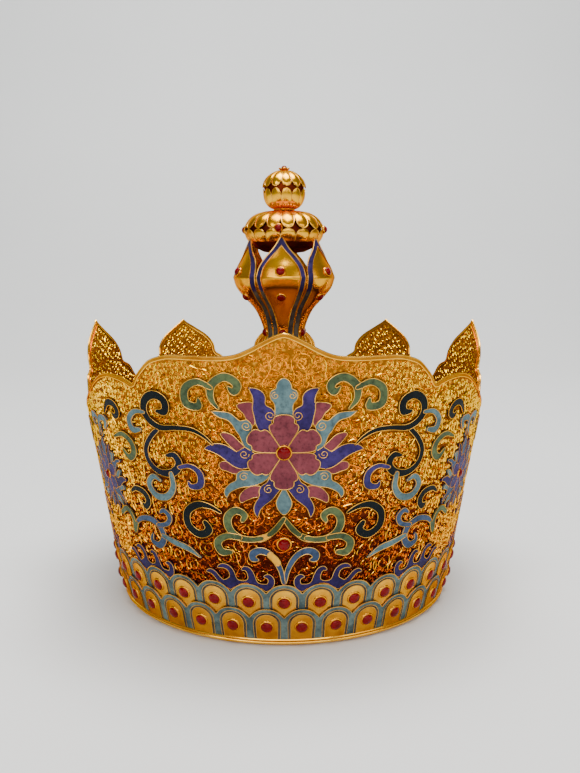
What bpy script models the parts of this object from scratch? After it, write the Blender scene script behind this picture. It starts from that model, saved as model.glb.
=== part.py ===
"""A gilt filigree crown with enamel flowers, two rows of jewelled scales and a lotus finial.

The front of the crown faces -Y, and the crown stands on Z = 0. Everything that lies on the wall is
drawn flat first, in millimetres: u runs round the wall from the middle of the front, measured at
UNROLL_RADIUS, v is the height, and w the height above the wall's outer face. wrap() bends it round
the cone. The wall is a cone of flat facets, so that the plates on it lie parallel to it.
"""

import math

import bmesh
import bpy
from mathutils import Matrix, Vector, geometry

MM = 0.001
GAP = 0.3

# The wall: a cone that opens upwards, drawn in a little more below the bend, behind the scales
FOOT_RADIUS = 95.0
WALL_SLOPE = 0.164
BEND_HEIGHT = 34.0
FOOT_TUCK = 0.08
WALL_THICKNESS = 1.0
WALL_FOOT = 1.9
UNROLL_RADIUS = 105.0
FACET_ANGLE = 10.0

# The wall's top edge, as (degrees, height): from the middle of the front to the notch at its side,
# over the low lobe beside it, and half of a tall lobe from its tip down to the notch
FRONT_EDGE = (
    (0, 155.0), (1.7, 154.0), (4.5, 151.2), (7.8, 147.5), (11, 145.0), (15, 144.1), (26, 144.1),
    (29, 143.0), (32, 140.8), (34.5, 136.8), (36.5, 133.0), (37.6, 129.8), (38.2, 128.4),
)
LOW_LOBE_EDGE = (
    (41.5, 131.0), (46.8, 132.3), (51.5, 130.8), (56.5, 126.6), (61.5, 121.2), (67.5, 115.4),
    (73.5, 110.8), (80, 106.0),
)
TALL_LOBE_EDGE = (
    (0, 148.0), (1.1, 146.0), (4.2, 142.0), (8.2, 136.5), (10.5, 130.5), (11.2, 124.5),
    (14.2, 121.0), (16.0, 115.0), (18, 108.6), (20, 105.0),
)
# The tall lobes of the right half, as (middle, degrees to the notch before it and after it, height)
TALL_LOBES = ((103, 23, 20, 151.6), (143, 20, 18.5, 148.0), (180, 18.5, 18.5, 148.0))
# Below this place on the lobe's edge its angles stretch, and above it its heights
LOBE_SHOULDER = (11.2, 124.5)

# Pierced gaps in the wall, between the ornaments, as (radius, most of that size)
GAP_SIZES = ((4.6, 28), (2.9, 9))
GAP_SIDES = 6
GAP_BAR = 1.7
EDGE_BAR = 4.0
GAP_LOWEST = 41.0

# The two rows of scales round the foot
SCALES = 36
SCALE_THICKNESS = 0.6
LOWER_SCALE = {"top": 20.0, "valley": 15.2, "foot": 1.9, "stone": 10.3, "lift": 2.02}
UPPER_SCALE = {"top": 33.5, "valley": 28.6, "foot": 12.0, "stone": 23.8, "lift": 0.72}
SCALE_STONE_RADIUS = 3.3
# Points of a scale's arch, as shares of its half-width, and the power that rounds it
SCALE_ARCH = (-1.0, -0.45, 0.45)
SCALE_ROUNDNESS = 2.4
FOOT_RIM = {"inner": 89.6, "outer": 95.4, "top": 1.6}

# A stone in its bezel: how much smaller its top is than its foot, and how far it stands out
STUD_SIDES = 8
STUD_TAPER = 0.6
STUD_RISE = 1.8
# Domes of the turned stones: (share of the radius, height), and of the two rubies: (share, depth)
STONE_DOME = ((0, 2.0), (0.6, 1.7), (1.0, 0.7))
STONE_ROOT = 0.6
RUBY_DOME = ((0, 0), (0.55, 0.4), (0.84, 1.6), (1.0, 1.9))

# Enamel plates: clear of the wall, and the petals on top of the leaves
PLATE_LIFT = GAP
PLATE_THICKNESS = 0.8
PETAL_LIFT = PLATE_LIFT + PLATE_THICKNESS + GAP

# The big flower, in the right half, from its centre: each leaf follows (u, v, half-width)
FLOWER_HEIGHT = 100.9
FLOWER_LEAVES = {
    "blue_up": ((7.0, 8.0, 1.6), (9.7, 16.4, 3.0), (10.0, 25.5, 2.5), (14.5, 30.1, 0.3)),
    "teal_up": ((11.0, 1.5, 0.8), (17.0, 9.5, 2.2), (21.0, 15.4, 1.7), (28.8, 17.3, 0.3)),
    "blue_side": ((11.5, -3.5, 1.2), (18.0, -3.2, 3.2), (25.0, -0.2, 2.1), (32.4, -1.3, 0.3)),
    "teal_low": ((8.5, -8.0, 0.8), (16.1, -13.2, 2.9), (23.0, -17.4, 2.3), (26.6, -23.1, 0.3)),
    "blue_low": ((3.0, -11.5, 1.2), (5.6, -18.6, 3.0), (10.6, -25.8, 2.0), (12.1, -31.9, 0.3)),
}
OUTER_PETALS = {
    "up": ((9.0, 9.5, 3.0), (18.8, 22.0, 0.5)),
    "side_up": ((12.0, 0.5, 3.0), (26.9, 7.9, 0.5)),
    "side_low": ((12.0, -5.5, 3.0), (28.4, -7.6, 0.5)),
    "low": ((6.5, -11.0, 3.0), (19.4, -25.2, 0.5)),
}
FLOWER_TREFOIL = ((0, 12.0, 3.0), (0, 24.0, 2.9), (0, 27.5, 5.4), (0, 31.0, 2.8), (0, 34.8, 0.4))
FLOWER_DROP = ((0, -13.0, 1.0), (0, -19.6, 1.2), (0, -26.4, 3.2), (0, -31.4, 0.4))
FLOWER_HUB_RADIUS = 14.0
# Half of a petal, as (distance from the centre, half-width)
PETAL_HALF = ((4.4, 2.7), (7.0, 4.4), (11.0, 6.5), (13.6, 6.9), (15.6, 5.4), (17.0, 3.4))
PETAL_TIP = 17.7
RUBY = {"radius": 3.7, "sides": 12, "height": 3.3}
LOWER_RUBY_HEIGHT = 54.9

# Scrolls of the right half of the front, as (u, v, half-width) along each
VINE_STEM = (
    (31.4, 103.6, 0.5), (34.6, 107.4, 0.9), (40.0, 109.7, 1.1), (48.0, 110.3, 1.2), (55.9, 109.6, 1.5),
    (61.8, 112.4, 1.7), (64.4, 117.2, 1.9), (62.6, 122.6, 2.0), (57.4, 125.4, 2.0), (52.3, 122.8, 1.9),
    (52.6, 117.6, 1.8), (56.8, 117.4, 1.1),
)
VINE_BRANCH = (
    (57.6, 108.8, 1.2), (63.0, 103.6, 1.3), (66.8, 97.0, 1.4), (65.2, 90.4, 1.5), (59.5, 86.8, 1.7),
    (52.4, 87.6, 2.0), (48.3, 92.0, 1.9), (50.4, 96.6, 1.6), (54.6, 95.8, 0.9),
)
VINE_CURL = (
    (64.6, 116.2, 0.9), (70.6, 115.8, 1.3), (75.2, 111.4, 1.6), (73.8, 106.4, 1.8), (69.0, 107.0, 1.2),
)
VINE_VIOLET = (
    (48.6, 90.6, 1.0), (43.0, 92.0, 1.2), (38.3, 89.0, 1.6), (38.4, 83.0, 1.8), (43.4, 81.6, 1.3),
    (44.4, 84.0, 0.6),
)
VINE_TEAL = (
    (53.4, 87.0, 1.2), (53.2, 80.0, 1.6), (57.4, 74.6, 1.8), (64.4, 74.0, 1.9), (68.2, 79.2, 1.7),
    (64.6, 84.0, 1.4), (60.8, 82.4, 0.9),
)
MID_SCROLL = (
    (29.4, 69.8, 0.7), (34.4, 72.4, 1.2), (41.0, 72.8, 1.8), (46.8, 68.4, 1.9), (47.0, 61.4, 2.0),
    (41.4, 57.4, 2.0), (36.0, 60.2, 1.9), (37.8, 64.0, 1.4),
)
GREEN_SCROLL = (
    (27.0, 120.8, 0.6), (30.0, 125.6, 1.4), (29.2, 132.0, 1.8), (23.6, 135.7, 1.9), (18.6, 132.4, 1.8),
    (20.2, 128.4, 1.4), (22.4, 131.2, 0.6),
)
GREEN_SCROLL_TWIN = (
    (29.6, 130.4, 1.0), (35.6, 133.0, 1.5), (41.2, 129.6, 1.8), (41.4, 122.6, 1.9), (35.6, 121.4, 1.7),
    (35.6, 125.2, 0.7),
)
LOWER_VINE = (
    (0.0, 68.3, 1.0), (3.8, 62.8, 1.4), (8.6, 58.6, 1.2), (15.2, 57.0, 1.4), (21.2, 57.8, 1.6),
    (25.8, 62.0, 1.9), (26.2, 67.8, 1.9), (22.4, 71.6, 1.8), (18.0, 69.6, 1.5), (19.4, 66.4, 1.0),
)
LOWER_CURL = ((21.0, 57.8, 1.4), (27.6, 58.0, 1.6), (32.2, 54.4, 1.9), (30.6, 49.6, 2.0), (25.8, 49.8, 1.2))
TWIN_SCROLL = (
    (0.3, 34.4, 0.9), (1.8, 41.6, 1.2), (5.4, 48.2, 1.5), (10.4, 51.4, 1.7), (14.8, 50.0, 1.9),
    (15.2, 46.8, 1.5), (12.8, 46.6, 0.9),
)
SIDE_SPIRAL = (
    (84.5, 54.4, 0.9), (79.4, 58.6, 1.4), (71.6, 60.2, 1.7), (65.2, 57.2, 1.8), (63.6, 51.4, 1.9),
    (67.4, 46.8, 1.9), (72.6, 48.4, 1.4), (71.4, 52.0, 0.8),
)
SIDE_LEAF = ((42.3, 44.9, 0.4), (48.6, 48.6, 1.5), (56.0, 50.4, 1.6), (64.0, 52.8, 1.2))
SIDE_CURL = ((66.4, 58.0, 1.2), (60.0, 59.8, 1.3), (57.8, 63.8, 1.5), (61.0, 66.8, 1.3), (63.8, 65.0, 0.7))
SIDE_END = ((83.0, 55.6, 0.9), (86.4, 50.0, 1.3), (86.0, 57.0, 1.4), (90.7, 61.6, 1.5), (97.8, 57.6, 1.4))

# One wave, from the valley between two scales, in its own u and v
WAVE_CRESTS = (
    ((-1.6, 33.0, 2.0), (0.6, 39.0, 0.7)),
    ((4.0, 35.4, 1.6), (7.3, 43.0, 1.5), (12.4, 43.4, 0.5)),
    ((15.0, 35.4, 1.6), (20.3, 42.8, 1.6), (24.4, 40.8, 0.5)),
    ((22.0, 34.8, 1.8), (34.0, 39.6, 0.5)),
)
WAVE_BASE = (
    (-2.6, 32.8), (0, 29.7), (4.6, 34.2), (9.2, 34.6), (13.7, 34.2), (18.3, 29.7), (23.4, 34.4),
    (15.0, 36.4), (4.0, 36.4),
)
WAVE_STEP = 30.0
FIRST_WAVE = 5.0

# The small flowers of the other lobes
SIDE_FLOWERS = (58, 103, 143, 180, -143, -103, -58)
SIDE_FLOWER_HEIGHT = 77.0
SIDE_FLOWER_SIZE = 0.58
SIDE_FLOWER_STONE = 2.7
SIDE_LEAF_HALF = 3.6

# The hidden dome inside the wall, outer side, as (radius, height)
DOME_PROFILE = (
    (0, 130.0), (18.0, 130.0), (52.0, 116.0), (76.0, 86.0), (90.0, 42.0), (91.7, 14.0), (90.9, 1.9),
)
DOME_THICKNESS = 1.2
DOME_SIDES = 16

# The finial, each table as (radius, height) from the top down
POST_RADIUS = 4.0
LOTUS_CORE = (
    (0, 213.9), (8.0, 213.6), (16.6, 210.6), (20.5, 206.0), (20.5, 204.6), (15.9, 197.2), (7.0, 192.2),
    (0, 192.0),
)
LOTUS_UPPER = ((5.0, 215.8), (18.2, 212.4), (22.5, 206.2))
LOTUS_LOWER = ((22.5, 204.9), (19.2, 199.8))
BALL_CORE = ((0, 236.2), (6.9, 234.3), (11.0, 228.4), (10.5, 221.4), (4.0, 217.8), (4.0, 214.1), (0, 214.1))
BALL_UPPER = ((1.0, 238.3), (9.2, 235.2), (12.2, 229.2))
BALL_LOWER = ((12.3, 228.2), (11.7, 221.0), (7.3, 216.8))
SHELL_THICKNESS = 0.8
LOTUS_PETALS = 16
BALL_PETALS = 12
NOTCH = {"lotus_upper": 2.2, "lotus_lower": -2.6, "ball_upper": 2.6, "ball_lower": -2.8}
BUD = ((0, 241.3), (1.8, 240.8), (2.3, 239.9), (3.3, 239.6), (2.2, 238.7), (0, 238.7))
LOTUS_STONES = (-8, 82, 172, 262)
LOTUS_STONE = {"distance": 22.9, "height": 205.3, "radius": 2.3}

# One prong, as (height, radius, half of its angle in degrees)
PRONG_ROWS = (
    (200.2, 20.9, 1.5), (194.5, 22.6, 10.5), (186.4, 26.2, 25.0), (178.2, 30.0, 28.6), (171.0, 26.6, 26.4),
    (158.0, 15.6, 28.6), (146.0, 11.9, 29.2), (130.4, 16.6, 29.2),
)
PRONG_COLUMNS = 3
PRONG_THICKNESS = 0.9
PRONGS = 6
PRONG_TURN = -4.0
# Stones on a prong, as (height, bezel radius)
PRONG_STONES = ((182.0, 2.4), (166.0, 2.2), (148.0, 2.0))

GOLD = (0.83, 0.50, 0.12)
RUBY_RED = (0.42, 0.01, 0.02)
DARK_RED = (0.14, 0.02, 0.015)
BLUE = (0.09, 0.10, 0.36)
TEAL = (0.18, 0.40, 0.46)
MAUVE = (0.36, 0.13, 0.20)
GREEN = (0.18, 0.30, 0.20)
BLACK_GREEN = (0.02, 0.05, 0.06)
SLATE = (0.16, 0.24, 0.34)


def cleared_collections():
    """The crown's collection and the one for cutters, in an empty scene."""
    for old in list(bpy.data.objects):
        bpy.data.objects.remove(old, do_unlink=True)
    made = []
    for name in ("gilt_filigree_crown", "cutters"):
        collection = bpy.data.collections.new(name)
        bpy.context.scene.collection.children.link(collection)
        made.append(collection)
    made[1].hide_render = True
    return made


CROWN, CUTTERS = cleared_collections()


def material(name, colour, metallic, roughness):
    made = bpy.data.materials.new(name)
    made.use_nodes = True
    shader = made.node_tree.nodes["Principled BSDF"]
    shader.inputs["Base Color"].default_value = (*colour, 1)
    shader.inputs["Metallic"].default_value = metallic
    shader.inputs["Roughness"].default_value = roughness
    made.diffuse_color = (*colour, 1)
    return made


def add_object(name, mesh, colour, metallic=0.0, roughness=0.3, smooth=False, collection=CROWN):
    mesh.materials.clear()
    mesh.materials.append(material(name, colour, metallic, roughness))
    if smooth:
        mesh.shade_smooth()
        mesh.set_sharp_from_angle(angle=math.radians(35))
    made = bpy.data.objects.new(name, mesh)
    collection.objects.link(made)
    return made


def to_u(degrees):
    return math.radians(degrees) * UNROLL_RADIUS


def wall_radius(height):
    return FOOT_RADIUS + WALL_SLOPE * height - FOOT_TUCK * max(0.0, BEND_HEIGHT - height)


def wrap(point, facet_start):
    """The place on the cone of a flat point (u, v, w); each facet's points lie in one plane."""
    u, v, w = point
    angle = math.degrees(u / UNROLL_RADIUS)
    facet = math.floor((angle - facet_start) / FACET_ANGLE)
    middle = facet_start + (facet + 0.5) * FACET_ANGLE
    flatten = math.cos(math.radians(FACET_ANGLE / 2)) / math.cos(math.radians(angle - middle))
    radius = (wall_radius(v) + w) * flatten
    turn = math.radians(angle)
    return Vector((radius * math.sin(turn), -radius * math.cos(turn), v)) * MM


def circle(u, v, radius, sides, turn=0.5):
    return [
        (
            u + radius * math.cos(2 * math.pi * (i + turn) / sides),
            v + radius * math.sin(2 * math.pi * (i + turn) / sides),
        )
        for i in range(sides)
    ]


def mirrored(points):
    return tuple((-p[0], *p[1:]) for p in points)


def moved(points, u, v, size=1.0):
    return tuple((u + size * p[0], v + size * p[1], *(size * w for w in p[2:])) for p in points)


def band(points):
    """The flat pieces, one to each gap, of a band that follows points (u, v, half-width)."""
    sides = []
    for i, (u, v, half) in enumerate(points):
        before = Vector(points[max(i - 1, 0)][:2])
        after = Vector(points[min(i + 1, len(points) - 1)][:2])
        along = (after - before).normalized()
        across = Vector((-along.y, along.x)) * half
        sides.append((Vector((u, v)) + across, Vector((u, v)) - across))
    pieces = []
    for (a, b), (c, d) in zip(sides, sides[1:]):
        corners = [a, b, d, c]
        pieces.append([corners[i] for i in geometry.convex_hull_2d(corners)])
    return pieces


def both_sides(*lines):
    """The pieces of bands along the lines and along their mirror images."""
    return [piece for line in lines for side in (line, mirrored(line)) for piece in band(side)]


def counter_clockwise(polygon):
    area = sum(p[0] * q[1] - q[0] * p[1] for p, q in zip(polygon, [*polygon[1:], polygon[0]]))
    return list(polygon) if area > 0 else list(reversed(polygon))


def facet_lines(polygons, facet_start):
    """Upright lines at the facets' edges, over all that the polygons cover."""
    us = [p[0] for polygon in polygons for p in polygon]
    vs = [p[1] for polygon in polygons for p in polygon]
    step = to_u(FACET_ANGLE)
    first = math.floor((min(us) - to_u(facet_start)) / step) + 1
    last = math.ceil((max(us) - to_u(facet_start)) / step) - 1
    places = [to_u(facet_start) + k * step for k in range(first, last + 1)]
    return [((u, min(vs) - 1), (u, max(vs) + 1)) for u in places]


def flat_sheet(shapes, holes, studs, facet_start, bent):
    """The union of the shapes less the holes; faces inside stud n have material index n + 1.

    It is cut at the facets' edges and, where it is bent, at the bend too.
    """
    rings = [circle(u, v, radius, STUD_SIDES) for u, v, radius in studs]
    polygons = [counter_clockwise(p) for p in (*shapes, *holes, *rings)]
    points = []
    faces = []
    for polygon in polygons:
        faces.append(list(range(len(points), len(points) + len(polygon))))
        points += [Vector(p) for p in polygon]
    lines = facet_lines(shapes, facet_start)
    bends = [BEND_HEIGHT] if bent else []
    lines += [((min(p[0] for p in points) - 1, v), (max(p[0] for p in points) + 1, v)) for v in bends]
    edges = []
    for line in lines:
        edges.append((len(points), len(points) + 1))
        points += [Vector(p) for p in line]
    corners, _, triangles, _, _, owners = geometry.delaunay_2d_cdt(points, edges, faces, 0, 1e-4)
    first_hole = len(shapes)
    first_stud = first_hole + len(holes)
    sheet = bmesh.new()
    verts = [sheet.verts.new((*corner, 0)) for corner in corners]
    for triangle, owner in zip(triangles, owners):
        inside = any(i < first_hole for i in owner)
        pierced = any(first_hole <= i < first_stud for i in owner)
        if inside and not pierced:
            face = sheet.faces.new([verts[i] for i in triangle])
            face.material_index = max((i - first_stud + 1 for i in owner if i >= first_stud), default=0)
    bmesh.ops.delete(sheet, geom=[v for v in sheet.verts if not v.link_faces], context="VERTS")
    places = [line[0][0] for line in lines if line[0][0] == line[1][0]]
    for edge in sheet.edges:
        a, b = (v.co for v in edge.verts)
        upright = any(abs(a.x - u) < 1e-3 and abs(b.x - u) < 1e-3 for u in places)
        edge.seam = upright or any(abs(a.y - v) < 1e-3 and abs(b.y - v) < 1e-3 for v in bends)
    bmesh.ops.dissolve_limit(
        sheet, angle_limit=0.02, verts=sheet.verts[:], edges=sheet.edges[:], delimit={"MATERIAL", "SEAM"},
    )
    return sheet


def raise_stud(sheet, region, centre):
    """Draws a stone in its bezel up out of the faces of the region."""
    drawn = bmesh.ops.extrude_face_region(sheet, geom=region)["geom"]
    bmesh.ops.delete(sheet, geom=region, context="FACES")
    for vert in (e for e in drawn if isinstance(e, bmesh.types.BMVert)):
        vert.co.x = centre[0] + (vert.co.x - centre[0]) * STUD_TAPER
        vert.co.y = centre[1] + (vert.co.y - centre[1]) * STUD_TAPER
        vert.co.z += STUD_RISE


def plate(
    name, shapes, lift, thickness, colour, metallic=0.0, holes=(), studs=(), facet_start=0.0, ring=False,
):
    """A plate of the flat shapes, bent round the wall. A ring is closed where its two ends meet."""
    sheet = flat_sheet(shapes, holes, studs, facet_start, name == "filigree_wall")
    drawn = bmesh.ops.extrude_face_region(sheet, geom=sheet.faces[:], use_keep_orig=True)["geom"]
    for vert in (e for e in drawn if isinstance(e, bmesh.types.BMVert)):
        vert.co.z += thickness
    tops = [e for e in drawn if isinstance(e, bmesh.types.BMFace)]
    for number, (u, v, _) in enumerate(studs, start=1):
        raise_stud(sheet, [f for f in tops if f.is_valid and f.material_index == number], (u, v))
    if ring:
        ends = [min(v.co.x for v in sheet.verts), max(v.co.x for v in sheet.verts)]
        closed = [f for f in sheet.faces if any(all(abs(v.co.x - u) < 1e-3 for v in f.verts) for u in ends)]
        bmesh.ops.delete(sheet, geom=closed, context="FACES_ONLY")
    bmesh.ops.triangulate(sheet, faces=sheet.faces[:])
    for vert in sheet.verts:
        vert.co = wrap((vert.co.x, vert.co.y, vert.co.z + lift), facet_start)
    bmesh.ops.remove_doubles(sheet, verts=sheet.verts[:], dist=1e-6)
    bmesh.ops.recalc_face_normals(sheet, faces=sheet.faces[:])
    for face in sheet.faces:
        face.material_index = 0
    mesh = bpy.data.meshes.new(name)
    sheet.to_mesh(mesh)
    sheet.free()
    return add_object(name, mesh, colour, metallic, 0.3)


def lobe_side(span, tip):
    """One side of a tall lobe, as (degrees from its middle, height), fitted to its span and height."""
    turn, shoulder = LOBE_SHOULDER
    wide = (span - turn) / (TALL_LOBE_EDGE[-1][0] - turn)
    high = (tip - shoulder) / (TALL_LOBE_EDGE[0][1] - shoulder)
    side = []
    for angle, height in TALL_LOBE_EDGE:
        if height > shoulder:
            side.append((angle, shoulder + (height - shoulder) * high))
        else:
            side.append((turn + (angle - turn) * wide, height))
    return side


def top_edge():
    """The wall's whole top edge, from the back round the front to the back, as flat points."""
    right = [*FRONT_EDGE, *LOW_LOBE_EDGE]
    for middle, before, after, tip in TALL_LOBES:
        right += [(middle - angle, height) for angle, height in reversed(lobe_side(before, tip)[:-1])]
        if middle < 180:
            right += [(middle + angle, height) for angle, height in lobe_side(after, tip)[1:]]
    left = [(-angle, height) for angle, height in reversed(right[1:])]
    return [(to_u(angle), height) for angle, height in (*left, *right)]


def edge_distance(point, a, b):
    a, b, point = Vector(a[:2]), Vector(b[:2]), Vector(point)
    along = max(0.0, min(1.0, (point - a).dot(b - a) / max((b - a).length_squared, 1e-9)))
    return (point - a - along * (b - a)).length


def is_clear(point, reach, polygons):
    """Whether every convex polygon stays further than reach from the point."""
    for polygon in polygons:
        pairs = list(zip(polygon, [*polygon[1:], polygon[0]]))
        if any(edge_distance(point, a, b) < reach for a, b in pairs):
            return False
        turns = [(b[0] - a[0]) * (point[1] - a[1]) - (b[1] - a[1]) * (point[0] - a[0]) for a, b in pairs]
        if all(turn > 0 for turn in turns) or all(turn < 0 for turn in turns):
            return False
    return True


def edge_height(u, pairs):
    """The height of the top edge above a place on the wall, or None past its ends."""
    for a, b in pairs:
        if a[0] <= u < b[0]:
            return a[1] + (b[1] - a[1]) * (u - a[0]) / (b[0] - a[0])
    return None


def has_room(gap, pairs, others, ornaments):
    """Whether a round gap keeps its distance from the top edge, other gaps and every ornament."""
    u, v, radius = gap
    top = edge_height(u, pairs)
    if top is None or v > top - radius - EDGE_BAR:
        return False
    if any(edge_distance((u, v), a, b) < radius + EDGE_BAR for a, b in pairs):
        return False
    if any(math.dist((u, v), (a, b)) < radius + c + GAP_BAR for a, b, c in others):
        return False
    return is_clear((u, v), radius + GAP_BAR / 2, ornaments)


def pierced_gaps(ornaments, edge):
    """Round gaps in rows, big ones first, spread over all the places where there is room."""
    found = []
    pairs = list(zip(edge, edge[1:]))
    for radius, most in GAP_SIZES:
        pitch = 2 * radius + GAP_BAR
        columns = int(2 * math.pi * UNROLL_RADIUS / pitch)
        rise = pitch * math.cos(math.radians(30))
        rows = int((max(v for _, v in edge) - GAP_LOWEST) / rise) + 1
        end = to_u(180) - radius - GAP_BAR
        fitting = []
        for row in range(rows):
            for column in range(columns):
                u = to_u(-180 + 360 * (column + 0.5 * (row % 2)) / columns)
                gap = (u, GAP_LOWEST + row * rise, radius)
                if abs(u) < end and has_room(gap, pairs, found + fitting, ornaments):
                    fitting.append(gap)
        step = max(1.0, len(fitting) / most)
        found += [fitting[int(i * step)] for i in range(min(most, len(fitting)))]
    return found


def scale_strip(scale, first_angle):
    """A strip round the whole foot with a scalloped top: one arch to each scale."""
    width = 360.0 / SCALES
    points = [(to_u(first_angle), scale["foot"])]
    top = []
    for number in range(SCALES):
        middle = first_angle + (number + 0.5) * width
        for share in SCALE_ARCH:
            rise = (1 - abs(share) ** SCALE_ROUNDNESS) * (scale["top"] - scale["valley"])
            top.append((to_u(middle + share * width / 2), scale["valley"] + rise))
    end = to_u(first_angle + 360)
    return [*points, (end, scale["foot"]), (end, scale["valley"]), *reversed(top)]


def add_scales(name, scale, first_angle):
    width = 360.0 / SCALES
    stones = [
        (to_u(first_angle + (number + 0.5) * width), scale["stone"], SCALE_STONE_RADIUS)
        for number in range(SCALES)
    ]
    plate(
        name, [scale_strip(scale, first_angle)], scale["lift"], SCALE_THICKNESS, GOLD, 1.0,
        studs=stones, facet_start=first_angle, ring=True,
    )


def flower_leaf_pieces(u, v, size):
    """Leaves, outer petals, trefoil and drop of a flower, on the hub that joins them."""
    lines = [*FLOWER_LEAVES.values(), *OUTER_PETALS.values()]
    pieces = both_sides(*lines) + band(FLOWER_TREFOIL) + band(FLOWER_DROP)
    pieces.append(circle(0, 0, FLOWER_HUB_RADIUS, 12))
    return [moved(piece, u, v, size) for piece in pieces]


def side_flower_pieces(u, v, size):
    """A small flower: fewer points, with the stone drawn up from its hub."""
    lines = [((*line[0][:2], SIDE_LEAF_HALF), line[-1]) for line in FLOWER_LEAVES.values()]
    pieces = both_sides(*lines) + band(FLOWER_TREFOIL[::4]) + band((FLOWER_DROP[0], FLOWER_DROP[2]))
    pieces.append(circle(0, 0, FLOWER_HUB_RADIUS, STUD_SIDES))
    return [moved(piece, u, v, size) for piece in pieces]


def petal_pieces(u, v):
    """Six petals, each of convex slices from its root to its tip."""
    slices = []
    for number in range(6):
        turn = Matrix.Rotation(math.radians(90 + 60 * number), 2)
        half = [*PETAL_HALF, (PETAL_TIP, 0.8)]
        for (near, near_half), (far, far_half) in zip(half, half[1:]):
            corners = ((near, -near_half), (far, -far_half), (far, far_half), (near, near_half))
            slices.append([tuple(Vector((u, v)) + turn @ Vector(corner)) for corner in corners])
    return slices


def turned_mesh(name, profile, sides):
    """The mesh of a profile, (radius, height) from the top down, turned round the Z axis."""
    line = bpy.data.meshes.new(name)
    points = [(radius * MM, 0, height * MM) for radius, height in profile]
    line.from_pydata(points, [(i, i + 1) for i in range(len(points) - 1)], [])
    blank = bpy.data.objects.new(name + "_profile", line)
    bpy.context.scene.collection.objects.link(blank)
    screw = blank.modifiers.new("turn", "SCREW")
    screw.axis = "Z"
    screw.steps = sides
    screw.render_steps = sides
    screw.use_merge_vertices = True
    screw.merge_threshold = 1e-6
    graph = bpy.context.evaluated_depsgraph_get()
    mesh = bpy.data.meshes.new_from_object(blank.evaluated_get(graph))
    bpy.data.objects.remove(blank, do_unlink=True)
    mesh.name = name
    return mesh


def add_turned(name, profile, sides, colour, metallic=1.0):
    return add_object(name, turned_mesh(name, profile, sides), colour, metallic, 0.3, smooth=True)


def petal_shell(name, profile, petals, notch_at_top):
    """A turned shell whose edge rises and dips once for each petal."""
    inner = []
    for i, (radius, height) in enumerate(profile):
        before = Vector(profile[max(i - 1, 0)])
        after = Vector(profile[min(i + 1, len(profile) - 1)])
        along = (after - before).normalized()
        inner.append((radius + along.y * SHELL_THICKNESS, height - along.x * SHELL_THICKNESS))
    mesh = turned_mesh(name, [*profile, *reversed(inner), profile[0]], 2 * petals)
    edge = profile[0] if notch_at_top else profile[-1]
    rim = inner[0] if notch_at_top else inner[-1]
    shell = bmesh.new()
    shell.from_mesh(mesh)
    bmesh.ops.remove_doubles(shell, verts=shell.verts[:], dist=1e-6)
    for vert in shell.verts:
        place = (math.hypot(vert.co.x, vert.co.y) / MM, vert.co.z / MM)
        column = round(math.atan2(vert.co.y, vert.co.x) * petals / math.pi)
        if column % 2 and min(math.dist(place, edge), math.dist(place, rim)) < 0.05:
            vert.co.z += NOTCH[name] * MM
    bmesh.ops.recalc_face_normals(shell, faces=shell.faces[:])
    shell.to_mesh(mesh)
    shell.free()
    return add_object(name, mesh, GOLD, 1.0, 0.25, smooth=True)


def stud_mesh(name, radius, depth=0.0):
    """A stone in its bezel, standing on its own Z = 0 and reaching down to -depth."""
    dome = [(share * radius, height) for share, height in STONE_DOME]
    return turned_mesh(name, [*dome, (radius, -depth), (0, -depth)], STUD_SIDES)


def prong_face(height):
    """The radius of a prong's middle face at a height, and how far that face leans back, in radians."""
    for (top, top_radius, _), (low, low_radius, half_angle) in zip(PRONG_ROWS, PRONG_ROWS[1:]):
        if low <= height <= top:
            share = (top - height) / (top - low)
            flatten = math.cos(math.radians(half_angle / PRONG_COLUMNS))
            radius = (top_radius + share * (low_radius - top_radius)) * flatten
            return radius, math.atan2(low_radius - top_radius, top - low)
    raise ValueError("no prong at this height")


def prong_mesh():
    """One petal-shaped prong of the finial, with its three stones joined to it."""
    surface = bmesh.new()
    bmesh.ops.create_grid(surface, x_segments=PRONG_COLUMNS, y_segments=len(PRONG_ROWS) - 1, size=1.0)
    for vert in surface.verts:
        row = round((1 - vert.co.y) / 2 * (len(PRONG_ROWS) - 1))
        height, radius, half_angle = PRONG_ROWS[row]
        turn = math.radians(vert.co.x * half_angle)
        vert.co = Vector((radius * math.sin(turn), -radius * math.cos(turn), height)) * MM
    bmesh.ops.recalc_face_normals(surface, faces=surface.faces[:])
    mesh = bpy.data.meshes.new("prong")
    surface.to_mesh(mesh)
    surface.free()
    if mesh.polygons[0].normal.y > 0:
        mesh.flip_normals()
    body = bpy.data.objects.new("prong_body", mesh)
    bpy.context.scene.collection.objects.link(body)
    wall = body.modifiers.new("wall", "SOLIDIFY")
    wall.thickness = PRONG_THICKNESS * MM
    wall.offset = -1
    for number, (height, size) in enumerate(PRONG_STONES):
        stone = bpy.data.objects.new(f"prong_stone_{number}", stud_mesh("prong_stone", size, STONE_ROOT))
        radius, lean = prong_face(height)
        place = Matrix.Translation(Vector((0, -radius, height)) * MM)
        stone.matrix_world = place @ Matrix.Rotation(math.radians(90) - lean, 4, "X")
        stone.hide_render = True
        stone.display_type = "WIRE"
        CUTTERS.objects.link(stone)
        join = body.modifiers.new("stone", "BOOLEAN")
        join.operation = "UNION"
        join.object = stone
    bpy.context.view_layer.update()
    graph = bpy.context.evaluated_depsgraph_get()
    joined = bpy.data.meshes.new_from_object(body.evaluated_get(graph))
    bpy.data.objects.remove(body, do_unlink=True)
    return joined


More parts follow.
